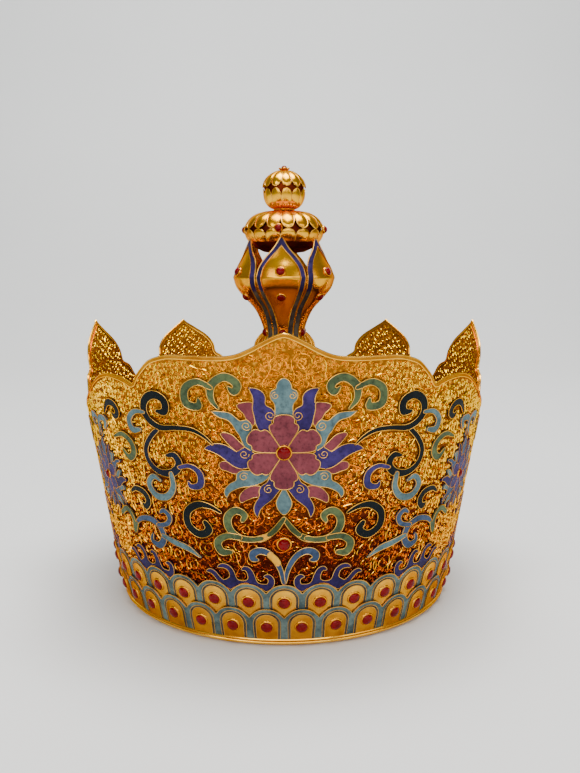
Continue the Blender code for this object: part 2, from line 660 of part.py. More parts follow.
def add_finial():
    """The post, six prongs, the jewelled lotus, the ball of petals and the bud."""
    add_turned("finial_post", (
        (0, LOTUS_CORE[-1][1] - GAP), (POST_RADIUS, LOTUS_CORE[-1][1] - GAP),
        (POST_RADIUS, DOME_PROFILE[0][1] + GAP), (0, DOME_PROFILE[0][1] + GAP),
    ), 12, GOLD)
    add_turned("lotus_core", LOTUS_CORE, LOTUS_PETALS, DARK_RED)
    add_turned("ball_core", BALL_CORE, BALL_PETALS, DARK_RED)
    petal_shell("lotus_upper", LOTUS_UPPER, LOTUS_PETALS, False)
    petal_shell("lotus_lower", LOTUS_LOWER, LOTUS_PETALS, True)
    petal_shell("ball_upper", BALL_UPPER, BALL_PETALS, False)
    petal_shell("ball_lower", BALL_LOWER, BALL_PETALS, True)
    add_turned("top_bud", BUD, 12, GOLD)
    for number, angle in enumerate(LOTUS_STONES, start=1):
        mesh = stud_mesh("lotus_stone", LOTUS_STONE["radius"])
        stone = add_object(f"lotus_stone_{number}", mesh, RUBY_RED, 0.0, 0.1, smooth=True)
        turn = math.radians(angle)
        out = Vector((math.sin(turn), -math.cos(turn), 0))
        stone.location = out * LOTUS_STONE["distance"] * MM + Vector((0, 0, LOTUS_STONE["height"] * MM))
        stone.rotation_euler = (math.radians(90), 0, turn)
    prong = prong_mesh()
    for number in range(PRONGS):
        made = add_object(f"prong_{number + 1}", prong.copy(), GOLD, 1.0, 0.25, smooth=True)
        made.rotation_euler = (0, 0, math.radians(PRONG_TURN + number * 360 / PRONGS))


def add_ruby(name, v, lift, top):
    """A round stone in a bezel that stands out from the middle of the front, from lift to top."""
    radius = RUBY["radius"]
    dome = [(share * radius, top - depth) for share, depth in RUBY_DOME]
    made = add_turned(name, [*dome, (radius, lift), (0, lift)], RUBY["sides"], RUBY_RED, 0.0)
    made.location = wrap((0, v, 0), 0.0)
    made.rotation_euler = (math.radians(90) + math.atan(WALL_SLOPE), 0, 0)


def enamel_plates():
    """Every enamel plate on the wall, as name: (flat pieces, colour)."""
    plates = {
        "flower_leaves": (flower_leaf_pieces(0, FLOWER_HEIGHT, 1.0), BLUE),
        "lower_vine": (both_sides(LOWER_VINE, LOWER_CURL), GREEN),
        "twin_scroll": (both_sides(TWIN_SCROLL), SLATE),
    }
    for side, turn in (("right", tuple), ("left", mirrored)):
        vine = [VINE_STEM, VINE_BRANCH, VINE_CURL, VINE_VIOLET, VINE_TEAL]
        plates[f"vine_{side}"] = ([p for line in vine for p in band(turn(line))], BLACK_GREEN)
        plates[f"mid_scroll_{side}"] = (band(turn(MID_SCROLL)), BLACK_GREEN)
        green = [GREEN_SCROLL, GREEN_SCROLL_TWIN]
        plates[f"green_scroll_{side}"] = ([p for line in green for p in band(turn(line))], GREEN)
        spiral = [SIDE_SPIRAL, SIDE_LEAF, SIDE_CURL, SIDE_END]
        plates[f"side_vine_{side}"] = ([p for line in spiral for p in band(turn(line))], SLATE)
    number = 0
    for step in range(6):
        shift = to_u(FIRST_WAVE + step * WAVE_STEP)
        for turn in (tuple, mirrored):
            number += 1
            pieces = [piece for crest in WAVE_CRESTS for piece in band(crest)]
            pieces = [turn(moved(piece, shift, 0)) for piece in (*pieces, WAVE_BASE)]
            plates[f"wave_{number:02d}"] = (pieces, BLUE)
    return plates


def add_wall(ornaments):
    edge = top_edge()
    outline = [(-to_u(180), WALL_FOOT), (to_u(180), WALL_FOOT), *reversed(edge)]
    gaps = [circle(u, v, radius, GAP_SIDES) for u, v, radius in pierced_gaps(ornaments, edge)]
    print(len(gaps), "pierced gaps")
    plate("filigree_wall", [outline], -WALL_THICKNESS, WALL_THICKNESS, GOLD, 1.0, holes=gaps, ring=True)


def main():
    plates = enamel_plates()
    for name, (pieces, colour) in plates.items():
        plate(name, pieces, PLATE_LIFT, PLATE_THICKNESS, colour)
    petals = petal_pieces(0, FLOWER_HEIGHT)
    plate("flower_petals", petals, PETAL_LIFT, PLATE_THICKNESS, MAUVE)
    add_ruby("flower_ruby", FLOWER_HEIGHT, PETAL_LIFT, PETAL_LIFT + RUBY["height"])
    add_ruby("lower_ruby", LOWER_RUBY_HEIGHT, PLATE_LIFT, PLATE_LIFT + RUBY["height"])
    ornaments = [piece for pieces, _ in plates.values() for piece in pieces]
    ornaments.append(circle(0, LOWER_RUBY_HEIGHT, RUBY["radius"], 12))
    for number, angle in enumerate(SIDE_FLOWERS, start=1):
        middle = to_u(angle)
        pieces = side_flower_pieces(middle, SIDE_FLOWER_HEIGHT, SIDE_FLOWER_SIZE)
        stone = (middle, SIDE_FLOWER_HEIGHT, SIDE_FLOWER_STONE)
        plate(f"side_flower_{number}", pieces, PLATE_LIFT, PLATE_THICKNESS, BLUE, studs=[stone])
        ornaments += pieces
        if angle == 180:
            ornaments += side_flower_pieces(-middle, SIDE_FLOWER_HEIGHT, SIDE_FLOWER_SIZE)
    add_wall(ornaments)
    add_scales("lower_scales", LOWER_SCALE, -180.0)
    add_scales("upper_scales", UPPER_SCALE, -185.0)
    add_turned("foot_rim", (
        (FOOT_RIM["inner"], FOOT_RIM["top"]), (FOOT_RIM["outer"], FOOT_RIM["top"]),
        (FOOT_RIM["outer"], 0), (FOOT_RIM["inner"], 0), (FOOT_RIM["inner"], FOOT_RIM["top"]),
    ), SCALES, GOLD)
    inner = [(max(r - DOME_THICKNESS, 0), h - DOME_THICKNESS * (r < 90)) for r, h in DOME_PROFILE]
    add_turned("inner_dome", (*DOME_PROFILE, *reversed(inner)), DOME_SIDES, GOLD)
    add_finial()


main()
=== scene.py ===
import math
import random

import bpy
import numpy as np
from mathutils import Matrix, Vector, geometry


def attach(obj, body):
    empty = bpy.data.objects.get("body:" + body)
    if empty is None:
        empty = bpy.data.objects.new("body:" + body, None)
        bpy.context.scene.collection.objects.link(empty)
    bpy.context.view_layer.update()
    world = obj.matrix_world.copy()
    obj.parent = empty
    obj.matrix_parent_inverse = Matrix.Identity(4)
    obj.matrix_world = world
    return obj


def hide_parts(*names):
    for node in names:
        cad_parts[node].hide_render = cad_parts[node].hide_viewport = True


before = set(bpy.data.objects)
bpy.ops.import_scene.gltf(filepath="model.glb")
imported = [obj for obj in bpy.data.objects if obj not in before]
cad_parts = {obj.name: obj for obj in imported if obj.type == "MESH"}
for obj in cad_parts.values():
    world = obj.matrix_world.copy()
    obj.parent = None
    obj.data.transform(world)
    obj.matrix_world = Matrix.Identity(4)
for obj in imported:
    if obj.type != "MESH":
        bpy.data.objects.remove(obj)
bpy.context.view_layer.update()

SEED = 7
random.seed(SEED)
RNG = np.random.default_rng(SEED)
MM = 0.001

# The wall's cone in millimetres, drawn in below the bend, and the flat sheet (u, v) for all that lies on it
FOOT_RADIUS = 95.0
WALL_SLOPE = 0.164
BEND_HEIGHT = 34.0
FOOT_TUCK = 0.08
UNROLL_RADIUS = 105.0
WALL_FOOT = 1.9


def to_u(degrees):
    return math.radians(degrees) * UNROLL_RADIUS


# The wall's face, laid flat, repeats after this length in millimetres
AROUND = to_u(360)


def on_wall(points):
    """Places in metres of flat points (u, v, w), with w the height above the wall's face."""
    flat = np.asarray(points, float).reshape(-1, 3)
    turn = flat[:, 0] / UNROLL_RADIUS
    tuck = FOOT_TUCK * np.maximum(0.0, BEND_HEIGHT - flat[:, 1])
    radius = FOOT_RADIUS + WALL_SLOPE * flat[:, 1] - tuck + flat[:, 2]
    return np.column_stack((radius * np.sin(turn), -radius * np.cos(turn), flat[:, 1])) * MM


# Node materials

# Nearly all values of a noise lie between these two
NOISE = (0.3, 0.7)
# How gilt metal looks towards its edges, where it is seen at a flat angle
EDGE_GOLD = (0.75, 0.38, 0.05)
# The height over which the filigree's painted light and shade run, in metres
SHADING_HEIGHT = 0.16
ENAMEL_ROUGHNESS = 0.48
WHITE = (1.0, 1.0, 1.0)


class Nodes:
    """A small helper that adds and links the nodes of one material."""

    def __init__(self, name):
        self.material = bpy.data.materials.new(name)
        self.material.use_nodes = True
        self.tree = self.material.node_tree
        self.shader = self.tree.nodes["Principled BSDF"]

    def put(self, socket, value):
        if isinstance(value, bpy.types.NodeSocket):
            self.tree.links.new(value, socket)
        else:
            socket.default_value = value

    def add(self, kind, inputs, **settings):
        node = self.tree.nodes.new(kind)
        for key, value in settings.items():
            setattr(node, key, value)
        for key, value in inputs.items():
            self.put(node.inputs[key], value)
        return node

    def place(self):
        return self.add("ShaderNodeTexCoord", {}).outputs["Object"]

    def noise(self, scale, detail=3.0, rough=0.55):
        inputs = {"Vector": self.place(), "Scale": scale, "Detail": detail, "Roughness": rough}
        return self.add("ShaderNodeTexNoise", inputs).outputs["Fac"]

    def ramp(self, value, *stops):
        node = self.add("ShaderNodeValToRGB", {"Fac": value})
        marks = node.color_ramp.elements
        while len(marks) < len(stops):
            marks.new(0.5)
        for mark, (place, colour) in zip(marks, stops):
            mark.position = place
            mark.color = (*colour, 1.0)
        return node.outputs["Color"]

    def map(self, value, low, high, to_low, to_high):
        inputs = dict(enumerate((value, low, high, to_low, to_high)))
        return self.add("ShaderNodeMapRange", inputs).outputs[0]

    def height(self, top):
        """The height above the floor, as 0 at the floor and 1 at top, which is in metres."""
        parts = self.add("ShaderNodeSeparateXYZ", {"Vector": self.place()})
        return self.map(parts.outputs["Z"], 0.0, top, 0.0, 1.0)

    def mix(self, share, a, b, blend="MULTIPLY"):
        inputs = {"Factor": share, "A": a, "B": b}
        return self.add("ShaderNodeMix", inputs, data_type="RGBA", blend_type=blend).outputs["Result"]

    def bump(self, value, strength, distance):
        inputs = {"Height": value, "Strength": strength, "Distance": distance}
        self.put(self.shader.inputs["Normal"], self.add("ShaderNodeBump", inputs).outputs["Normal"])

    def shade(self, **inputs):
        for key, value in inputs.items():
            socket = self.shader.inputs[key.replace("_", " ")]
            self.put(socket, (*value, 1.0) if isinstance(value, tuple) else value)


def gold(name, light, dark, roughness, spots=90.0):
    """Gilt metal: its colour wanders between two golds, and its roughness with it."""
    nodes = Nodes(name)
    cloud = nodes.noise(spots)
    fine = nodes.noise(900.0, 2.0)
    nodes.shade(
        Base_Color=nodes.ramp(cloud, (0.32, dark), (0.62, light)),
        Metallic=1.0,
        Specular_Tint=EDGE_GOLD,
        Roughness=nodes.map(cloud, *NOISE, roughness * 1.35, roughness * 0.8),
    )
    nodes.bump(fine, 0.15, 0.00012)
    return nodes.material


def coil_material():
    """Filigree wire: darker and redder low down, bright towards the lobes, as painted light and shade; the
    cloud varies its tone at random.
    """
    nodes = Nodes("filigree_gold")
    level = nodes.height(SHADING_HEIGHT)
    cloud = nodes.noise(160.0)
    # Painted light and shade: the wire's gold runs lighter towards the top, where the light falls, and darker
    # low down
    base = nodes.ramp(
        level, (0.15, (0.90, 0.39, 0.012)), (0.42, (0.96, 0.46, 0.01)), (0.58, (1.0, 0.54, 0.010)),
        (0.95, (1.0, 0.63, 0.010)),
    )
    spread = nodes.ramp(cloud, (0.3, (0.62, 0.48, 0.34)), (0.46, (1.0, 0.96, 0.9)), (0.72, WHITE))
    tone = nodes.mix(1.0, base, spread)
    nodes.shade(Base_Color=tone, Metallic=1.0, Roughness=0.15, Specular_Tint=EDGE_GOLD)
    return nodes.material


def shade_sheet_material():
    """The sheet behind the coils, coloured as painted shade of the crown's inside: dark red-brown low down,
    amber above where the far side is lit.
    """
    nodes = Nodes("filigree_painted_shade")
    wander = nodes.noise(30.0)
    level = nodes.height(SHADING_HEIGHT)
    shifted = nodes.add("ShaderNodeMath", {0: level, 1: nodes.map(wander, *NOISE, -0.06, 0.06)}).outputs[0]
    # Painted shade and light: the colour of the shaded inside seen through the filigree, darker low down and
    # lighter above
    base = nodes.ramp(
        shifted, (0.2, (0.075, 0.010, 0.006)), (0.40, (0.12, 0.020, 0.008)), (0.56, (0.24, 0.068, 0.008)),
        (0.72, (0.42, 0.155, 0.008)), (0.9, (0.70, 0.30, 0.014)),
    )
    # Painted shade: the grain darkens towards its cells' rims, between the grains
    cells = nodes.add("ShaderNodeTexVoronoi", {"Vector": nodes.place(), "Scale": 620.0}).outputs["Distance"]
    speck = nodes.ramp(cells, (0.15, WHITE), (0.6, (0.42, 0.34, 0.28)))
    nodes.shade(
        Base_Color=nodes.mix(1.0, base, speck), Metallic=0.7, Roughness=0.45, Specular_IOR_Level=0.1,
        Specular_Tint=EDGE_GOLD,
    )
    nodes.bump(cells, 0.6, -0.0004)
    return nodes.material


def enamel(colour, light, dark):
    """Satin vitreous enamel: mottled in two sizes and slightly pitted."""
    nodes = Nodes(f"enamel_{colour}")
    broad = nodes.noise(110.0, 4.0, 0.6)
    fine = nodes.noise(520.0, 3.0, 0.6)
    base = nodes.ramp(broad, (0.38, dark), (0.62, light))
    specks = nodes.ramp(fine, (0.30, (0.5, 0.48, 0.5)), (0.46, WHITE), (0.72, (1.35, 1.32, 1.28)))
    nodes.shade(
        Base_Color=nodes.mix(0.8, base, nodes.mix(1.0, base, specks), "MIX"),
        Roughness=nodes.map(fine, *NOISE, ENAMEL_ROUGHNESS * 0.8, ENAMEL_ROUGHNESS * 1.3),
        Specular_IOR_Level=0.08,
    )
    nodes.bump(fine, 0.25, 0.0002)
    return nodes.material


def stone_material():
    nodes = Nodes("red_stone")
    cloud = nodes.noise(260.0)
    nodes.shade(
        Base_Color=nodes.ramp(cloud, (0.3, (0.10, 0.0005, 0.0015)), (0.7, (0.20, 0.001, 0.003))),
        Roughness=nodes.map(cloud, *NOISE, 0.14, 0.08),
        Specular_IOR_Level=0.14,
    )
    return nodes.material


def lining_material():
    """The dull, dark gilt of the hidden dome."""
    nodes = Nodes("dull_gilt")
    cloud = nodes.noise(40.0, 4.0)
    fine = nodes.noise(700.0, 2.0)
    nodes.shade(
        Base_Color=nodes.ramp(cloud, (0.3, (0.16, 0.055, 0.014)), (0.7, (0.34, 0.14, 0.03))),
        Metallic=0.8,
        Roughness=nodes.map(cloud, *NOISE, 0.62, 0.45),
    )
    nodes.bump(fine, 0.3, 0.0002)
    return nodes.material


# Gilt metals: light tone, dark tone, roughness and, where it isn't the usual one, the scale of the cloud
GOLDS = {
    "rim": ((1.0, 0.54, 0.05), (0.88, 0.40, 0.02), 0.17),
    "strip": ((0.48, 0.20, 0.008), (0.32, 0.11, 0.004), 0.36),
    "wire": ((0.85, 0.46, 0.08), (0.62, 0.30, 0.035), 0.26),
    "petal": ((0.96, 0.48, 0.006), (0.70, 0.28, 0.003), 0.21, 70.0),
    # Painted shade: the lower row's gilt is a darker copy of the upper row's, as it lies lower and in shade
    "shaded_low_scale": ((0.68, 0.30, 0.014), (0.46, 0.17, 0.006), 0.34, 120.0),
    "scale": ((0.84, 0.43, 0.03), (0.62, 0.25, 0.01), 0.34, 120.0),
    "bezel": ((0.80, 0.36, 0.015), (0.62, 0.22, 0.006), 0.2),
}
# Enamels: light tone, dark tone
ENAMELS = {
    "indigo": ((0.024, 0.015, 0.080), (0.012, 0.008, 0.042)),
    "blue": ((0.040, 0.025, 0.125), (0.022, 0.013, 0.072)),
    "violet": ((0.045, 0.035, 0.15), (0.024, 0.020, 0.09)),
    "teal": ((0.105, 0.18, 0.195), (0.062, 0.11, 0.125)),
    "slate": ((0.045, 0.075, 0.14), (0.025, 0.045, 0.09)),
    "mauve": ((0.18, 0.040, 0.052), (0.12, 0.024, 0.034)),
    "green": ((0.085, 0.12, 0.05), (0.04, 0.062, 0.03)),
    "moss": ((0.045, 0.065, 0.024), (0.022, 0.034, 0.014)),
    "dark": ((0.004, 0.008, 0.010), (0.002, 0.004, 0.006)),
    "navy": ((0.007, 0.011, 0.028), (0.004, 0.006, 0.015)),
    "border": ((0.11, 0.16, 0.15), (0.045, 0.07, 0.075)),
    "band": ((0.085, 0.075, 0.055), (0.035, 0.03, 0.03)),
}
MATERIALS = {
    "coils": coil_material(),
    "shade_sheet": shade_sheet_material(),
    # Painted shade: the dark red-brown seen between the finial's petals
    "maroon": gold("maroon_painted_shade", (0.16, 0.022, 0.006), (0.06, 0.007, 0.003), 0.5),
    "ruby": stone_material(),
    "lining": lining_material(),
    **{kind: gold(f"{kind}_gold", *look) for kind, look in GOLDS.items()},
    **{colour: enamel(colour, *tones) for colour, tones in ENAMELS.items()},
}


# Meshes


def add_object(name, data):
    made = bpy.data.objects.new(name, data)
    bpy.context.scene.collection.objects.link(made)
    return made


class Piece:
    """Collects vertices and faces of several materials, then makes one object that rides on the root."""

    def __init__(self, name, slot):
        self.name, self.slot = name, slot
        self.points, self.faces, self.kinds, self.used = [], [], [], []
        self.count = 0

    def add(self, points, faces, kind):
        """Points in metres and faces as lists of indices, all of one material."""
        if kind not in self.used:
            self.used.append(kind)
        self.points.append(points)
        self.faces += [tuple(i + self.count for i in face) for face in faces]
        self.kinds += [self.used.index(kind)] * len(faces)
        self.count += len(points)

    def finish(self, *replaces, angle=40.0):
        mesh = bpy.data.meshes.new(self.name)
        mesh.from_pydata(np.concatenate(self.points).tolist(), [], self.faces)
        for kind in self.used:
            mesh.materials.append(MATERIALS[kind])
        mesh.polygons.foreach_set("material_index", np.array(self.kinds, dtype=np.int32))
        mesh.shade_smooth()
        mesh.set_sharp_from_angle(angle=math.radians(angle))
        made = add_object(self.name, mesh)
        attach(made, "root")
        if replaces:
            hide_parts(*replaces)


def spline(points, step, closed=False):
    """Catmull-Rom through points of any width, with a point about every step."""
    points = [np.asarray(p, float) for p in points]
    if closed:
        ring = [points[-1], *points, points[0], points[1]]
    else:
        ring = [2 * points[0] - points[1], *points, 2 * points[-1] - points[-2]]
    made = []
    for a, b, c, d in zip(ring, ring[1:], ring[2:], ring[3:]):
        count = max(1, int(math.ceil(np.linalg.norm((c - b)[:2]) / step)))
        t = (np.arange(count) / count)[:, None]
        made.append(0.5 * (
            2 * b + (c - a) * t + (2 * a - 5 * b + 4 * c - d) * t**2 + (3 * b - a - 3 * c + d) * t**3
        ))
    if not closed:
        made.append(points[-1][None, :])
    return np.concatenate(made)


def resampled(path, step, closed=False):
    path = np.asarray(path, float)
    if closed:
        path = np.concatenate((path, path[:1]))
    lengths = np.linalg.norm(np.diff(path, axis=0), axis=1)
    along = np.concatenate(([0], np.cumsum(lengths)))
    count = max(3 if closed else 1, int(round(along[-1] / step)))
    wanted = np.linspace(0, along[-1], count + 1)
    made = np.column_stack([np.interp(wanted, along, path[:, i]) for i in range(path.shape[1])])
    return made[:-1] if closed else made


def smoothed(path, rounds, closed=False, period=0.0):
    path = np.array(path, float)
    for _ in range(rounds):
        if closed:
            before, after = neighbours(path, period)
            path = 0.5 * path + 0.25 * (before + after)
        elif len(path) > 2:
            path[1:-1] = 0.5 * path[1:-1] + 0.25 * (path[:-2] + path[2:])
    return path


def neighbours(path, period):
    """The points before and after each point of a loop; a loop round the wall repeats after period in u."""
    before = np.roll(path, 1, axis=0)
    after = np.roll(path, -1, axis=0)
    before[0, 0] -= period
    after[-1, 0] += period
    return before, after


def tangents(path, closed, period=0.0):
    if closed:
        before, after = neighbours(path, period)
        along = after - before
    else:
        along = np.gradient(path, axis=0)
    return along / np.maximum(np.linalg.norm(along, axis=1, keepdims=True), 1e-9)


def tube_faces(rings, sides, closed):
    """Faces of a tube whose vertices come ring by ring, with end caps where it is open."""
    a = np.arange(rings if closed else rings - 1)[:, None]
    b = (a + 1) % rings
    s = np.arange(sides)
    n = (s + 1) % sides
    quads = np.stack((a * sides + s, a * sides + n, b * sides + n, b * sides + s), axis=-1)
    faces = quads.reshape(-1, 4).tolist()
    if not closed:
        faces.append(tuple(range(sides - 1, -1, -1)))
        faces.append(tuple(range((rings - 1) * sides, rings * sides)))
    return faces


def round_section(radius, sides):
    turn = 2 * math.pi * (np.arange(sides) + 0.5) / sides
    return np.column_stack((radius * np.cos(turn), radius * np.sin(turn)))


def flat_tube(piece, path, level, section, kind, closed=False, period=0.0):
    """A wire on the wall along a flat path; the section is (across, up) in millimetres."""
    path = np.asarray(path, float)
    if len(path) < 2:
        return
    along = tangents(path, closed, period)
    across = np.column_stack((-along[:, 1], along[:, 0]))
    flat = path[:, None] + across[:, None] * section[:, :1]
    ups = np.broadcast_to(level + section[:, 1:], (*flat.shape[:2], 1))
    points = np.concatenate((flat, ups), axis=2).reshape(-1, 3)
    piece.add(on_wall(points), tube_faces(len(path), len(section), closed), kind)


def space_tube(piece, path, radius, sides, kind, closed=False):
    """A round wire along any path in millimetres."""
    path = np.asarray(path, float)
    along = tangents(path, closed)
    side = np.cross(along[0], (0.3, 0.2, 1.0))
    side /= np.linalg.norm(side)
    turns = 2 * math.pi * np.arange(sides) / sides
    rings = []
    for point, direction in zip(path, along):
        side = side - direction * np.dot(side, direction)
        side /= max(np.linalg.norm(side), 1e-9)
        other = np.cross(direction, side)
        rings.append(point + radius * (np.cos(turns)[:, None] * side + np.sin(turns)[:, None] * other))
    piece.add(np.concatenate(rings) * MM, tube_faces(len(path), sides, closed), kind)


def thick_grid(piece, grid, thickness, kind, flip=False):
    """A closed sheet, thickened inwards, from points in millimetres: rows go down, columns to the right."""
    grid = np.asarray(grid, float)
    down = np.gradient(grid, axis=0)
    right = np.gradient(grid, axis=1)
    normal = np.cross(down, right)
    normal /= np.maximum(np.linalg.norm(normal, axis=2, keepdims=True), 1e-9)
    if flip:
        normal = -normal
    back = grid - normal * thickness
    rows, columns = grid.shape[:2]
    a = (np.arange(rows - 1)[:, None] * columns + np.arange(columns - 1)).ravel()
    quads = np.stack((a, a + 1, a + columns + 1, a + columns), axis=1)
    total = rows * columns
    ring = [*range(columns), *(i * columns + columns - 1 for i in range(1, rows))]
    ring += [*range(total - 2, total - columns - 1, -1), *(i * columns for i in range(rows - 2, 0, -1))]
    ring = np.array(ring)
    after = np.roll(ring, -1)
    sides = np.stack((ring, ring + total, after + total, after), axis=1)
    faces = np.concatenate((quads[:, ::-1], quads + total, sides[:, ::-1]))
    if flip:
        faces = faces[:, ::-1]
    piece.add(np.concatenate((grid, back)).reshape(-1, 3) * MM, faces.tolist(), kind)


def turned(piece, profile, kind, sides=64, place=Matrix()):
    """A profile (radius, height) turned round its own Z axis and moved by the matrix place."""
    points, faces, rings = [], [], []
    for radius, height in profile:
        count = sides if radius > 0 else 1
        rings.append(range(len(points), len(points) + count))
        for i in range(count):
            turn = 2 * math.pi * i / sides
            points.append(place @ Vector((radius * math.cos(turn), radius * math.sin(turn), height)))
    for upper, lower in zip(rings, rings[1:]):
        for i in range(sides):
            n = (i + 1) % sides
            if len(upper) == 1:
                faces.append((upper[0], lower[i], lower[n]))
            elif len(lower) == 1:
                faces.append((upper[n], upper[i], lower[0]))
            else:
                faces.append((upper[i], lower[i], lower[n], upper[n]))
    piece.add(np.array([tuple(p) for p in points]) * MM, faces, kind)


# A stone's bezel as (share of the stone's radius, height), and the height where the stone starts to round off
BEZEL = (
    (0.97, 0.5), (1.01, 0.66), (1.08, 0.62), (1.17, 0.4), (1.24, 0.1), (1.24, -0.3), (0.97, -0.3),
    (0.97, 0.5),
)
STONE_WAIST = 0.45


def set_stone(piece, place, radius, height=1.9, sides=20):
    """A round polished stone in a raised gold bezel, standing on the place's own XY plane."""
    turned(piece, [(radius * share, level) for share, level in BEZEL], "bezel", sides, place)
    swell = height - STONE_WAIST
    dome = [(radius * math.sin(t), STONE_WAIST + swell * math.cos(t)) for t in np.linspace(0, math.pi / 2, 7)]
    turned(piece, [*dome, (radius * 0.985, -0.2), (0, -0.2)], "ruby", sides, place)


def outward(turn, lean=0.0):
    """The direction away from the crown's axis, leaning up, both angles in radians."""
    return Vector((math.sin(turn) * math.cos(lean), -math.cos(turn) * math.cos(lean), math.sin(lean)))


def standing(point, out):
    """The matrix of a place in millimetres whose Z axis points along out."""
    return Matrix.Translation(point) @ out.to_track_quat("Z", "Y").to_matrix().to_4x4()


def wall_place(u, v, w):
    """The matrix that stands things up on the wall, in millimetres."""
    slope = WALL_SLOPE + (FOOT_TUCK if v < BEND_HEIGHT else 0.0)
    return standing(on_wall([(u, v, w)])[0] / MM, outward(u / UNROLL_RADIUS, -math.atan(slope)))


# The wall's top edge, as (degrees, height)
FRONT_EDGE = (
    (0, 155.0), (1.7, 154.0), (4.5, 151.2), (7.8, 147.5), (11, 145.0), (15, 144.1), (20, 144.1), (26, 144.1),
    (29, 143.0), (32, 140.8), (34.5, 136.8), (36.5, 133.0), (37.6, 129.8), (38.2, 128.4),
)
LOW_LOBE_EDGE = (
    (38.2, 128.4), (41.5, 131.0), (46.8, 132.3), (51.5, 130.8), (56.5, 126.6), (61.5, 121.2), (67.5, 115.4),
    (73.5, 110.8), (80, 105.6),
)
TALL_LOBE_EDGE = (
    (0, 148.0), (1.1, 146.0), (4.2, 142.0), (8.2, 136.5), (10.5, 130.5), (11.2, 124.5),
    (14.2, 121.0), (16.0, 115.0), (18, 108.6), (20, 105.6),
)
# The tall lobes of the right half, as (middle, degrees to the notch before it and after it, height)
TALL_LOBES = ((103, 23, 20, 151.6), (143, 20, 18.5, 148.0), (180, 18.5, 18.5, 148.0))
LOBE_SHOULDER = (11.2, 124.5)


def lobe_side(span, tip):
    """One side of a tall lobe, as (degrees from its middle, height), fitted to its span and height."""
    turn, shoulder = LOBE_SHOULDER
    wide = (span - turn) / (TALL_LOBE_EDGE[-1][0] - turn)
    high = (tip - shoulder) / (TALL_LOBE_EDGE[0][1] - shoulder)
    side = []
    for angle, height in TALL_LOBE_EDGE:
        if height > shoulder:
            side.append((angle, shoulder + (height - shoulder) * high))
        else:
            side.append((turn + (angle - turn) * wide, height))
    return side


def edge_runs():
    """Smooth runs of the top edge between its corners, as flat points going from back to back."""
    right = [FRONT_EDGE, LOW_LOBE_EDGE]
    for middle, before, after, tip in TALL_LOBES:
        right.append([(middle - angle, height) for angle, height in reversed(lobe_side(before, tip))])
        if middle < 180:
            right.append([(middle + angle, height) for angle, height in lobe_side(after, tip)])
    left = [[(-angle, height) for angle, height in reversed(run)] for run in reversed(right)]
    return [spline([(to_u(angle), height) for angle, height in run], 1.0) for run in (*left, *right)]


EDGE_RUNS = edge_runs()
EDGE = np.concatenate([run[:-1] for run in EDGE_RUNS] + [EDGE_RUNS[-1][-1:]])
EDGE_U = np.maximum.accumulate(EDGE[:, 0] + np.arange(len(EDGE)) * 1e-7)


def edge_height(u):
    return np.interp(u, EDGE_U, EDGE[:, 1])


# Flat shapes of the enamel

OUTLINE_STEP = 0.9
SCROLL_STEP = 1.3
NARROWEST = 0.12


def mirrored(points):
    return [(-p[0], *p[1:]) for p in points]


def disc(u, v, radius, sides=14):
    turn = 2 * math.pi * np.arange(sides) / sides
    return np.column_stack((u + radius * np.cos(turn), v + radius * np.sin(turn)))


def scroll(points):
    """The convex pieces of a band along (u, v, half-width), with round ends."""
    line = spline(points, SCROLL_STEP)
    line[:, 2] = np.maximum(line[:, 2], NARROWEST)
    along = tangents(line[:, :2], False)
    across = np.column_stack((-along[:, 1], along[:, 0])) * line[:, 2:3]
    left = line[:, :2] + across
    right = line[:, :2] - across
    pieces = []
    for i in range(len(line) - 1):
        corners = [Vector(p) for p in (left[i], right[i], right[i + 1], left[i + 1])]
        hull = geometry.convex_hull_2d(corners)
        if len(hull) >= 3:
            pieces.append(np.array([tuple(corners[j]) for j in hull]))
    return [*pieces, disc(*line[0]), disc(*line[-1])]


def outline(points, corners=()):
    """A closed outline through points, smooth except at the numbered corners."""
    if not corners:
        return spline(points, OUTLINE_STEP, closed=True)
    points = [*points[corners[0]:], *points[:corners[0]]]
    marks = [c - corners[0] for c in corners] + [len(points)]
    made = []
    for a, b in zip(marks, marks[1:]):
        run = [*points, points[0]][a:b + 1]
        made.append(spline(run, OUTLINE_STEP)[:-1] if len(run) > 2 else np.array(run[:1], float))
    return np.concatenate(made)


def whole(first, half, last):
    """An outline from its two points on the middle line and its right half."""
    return [first, *half, last, *mirrored(reversed(half))]


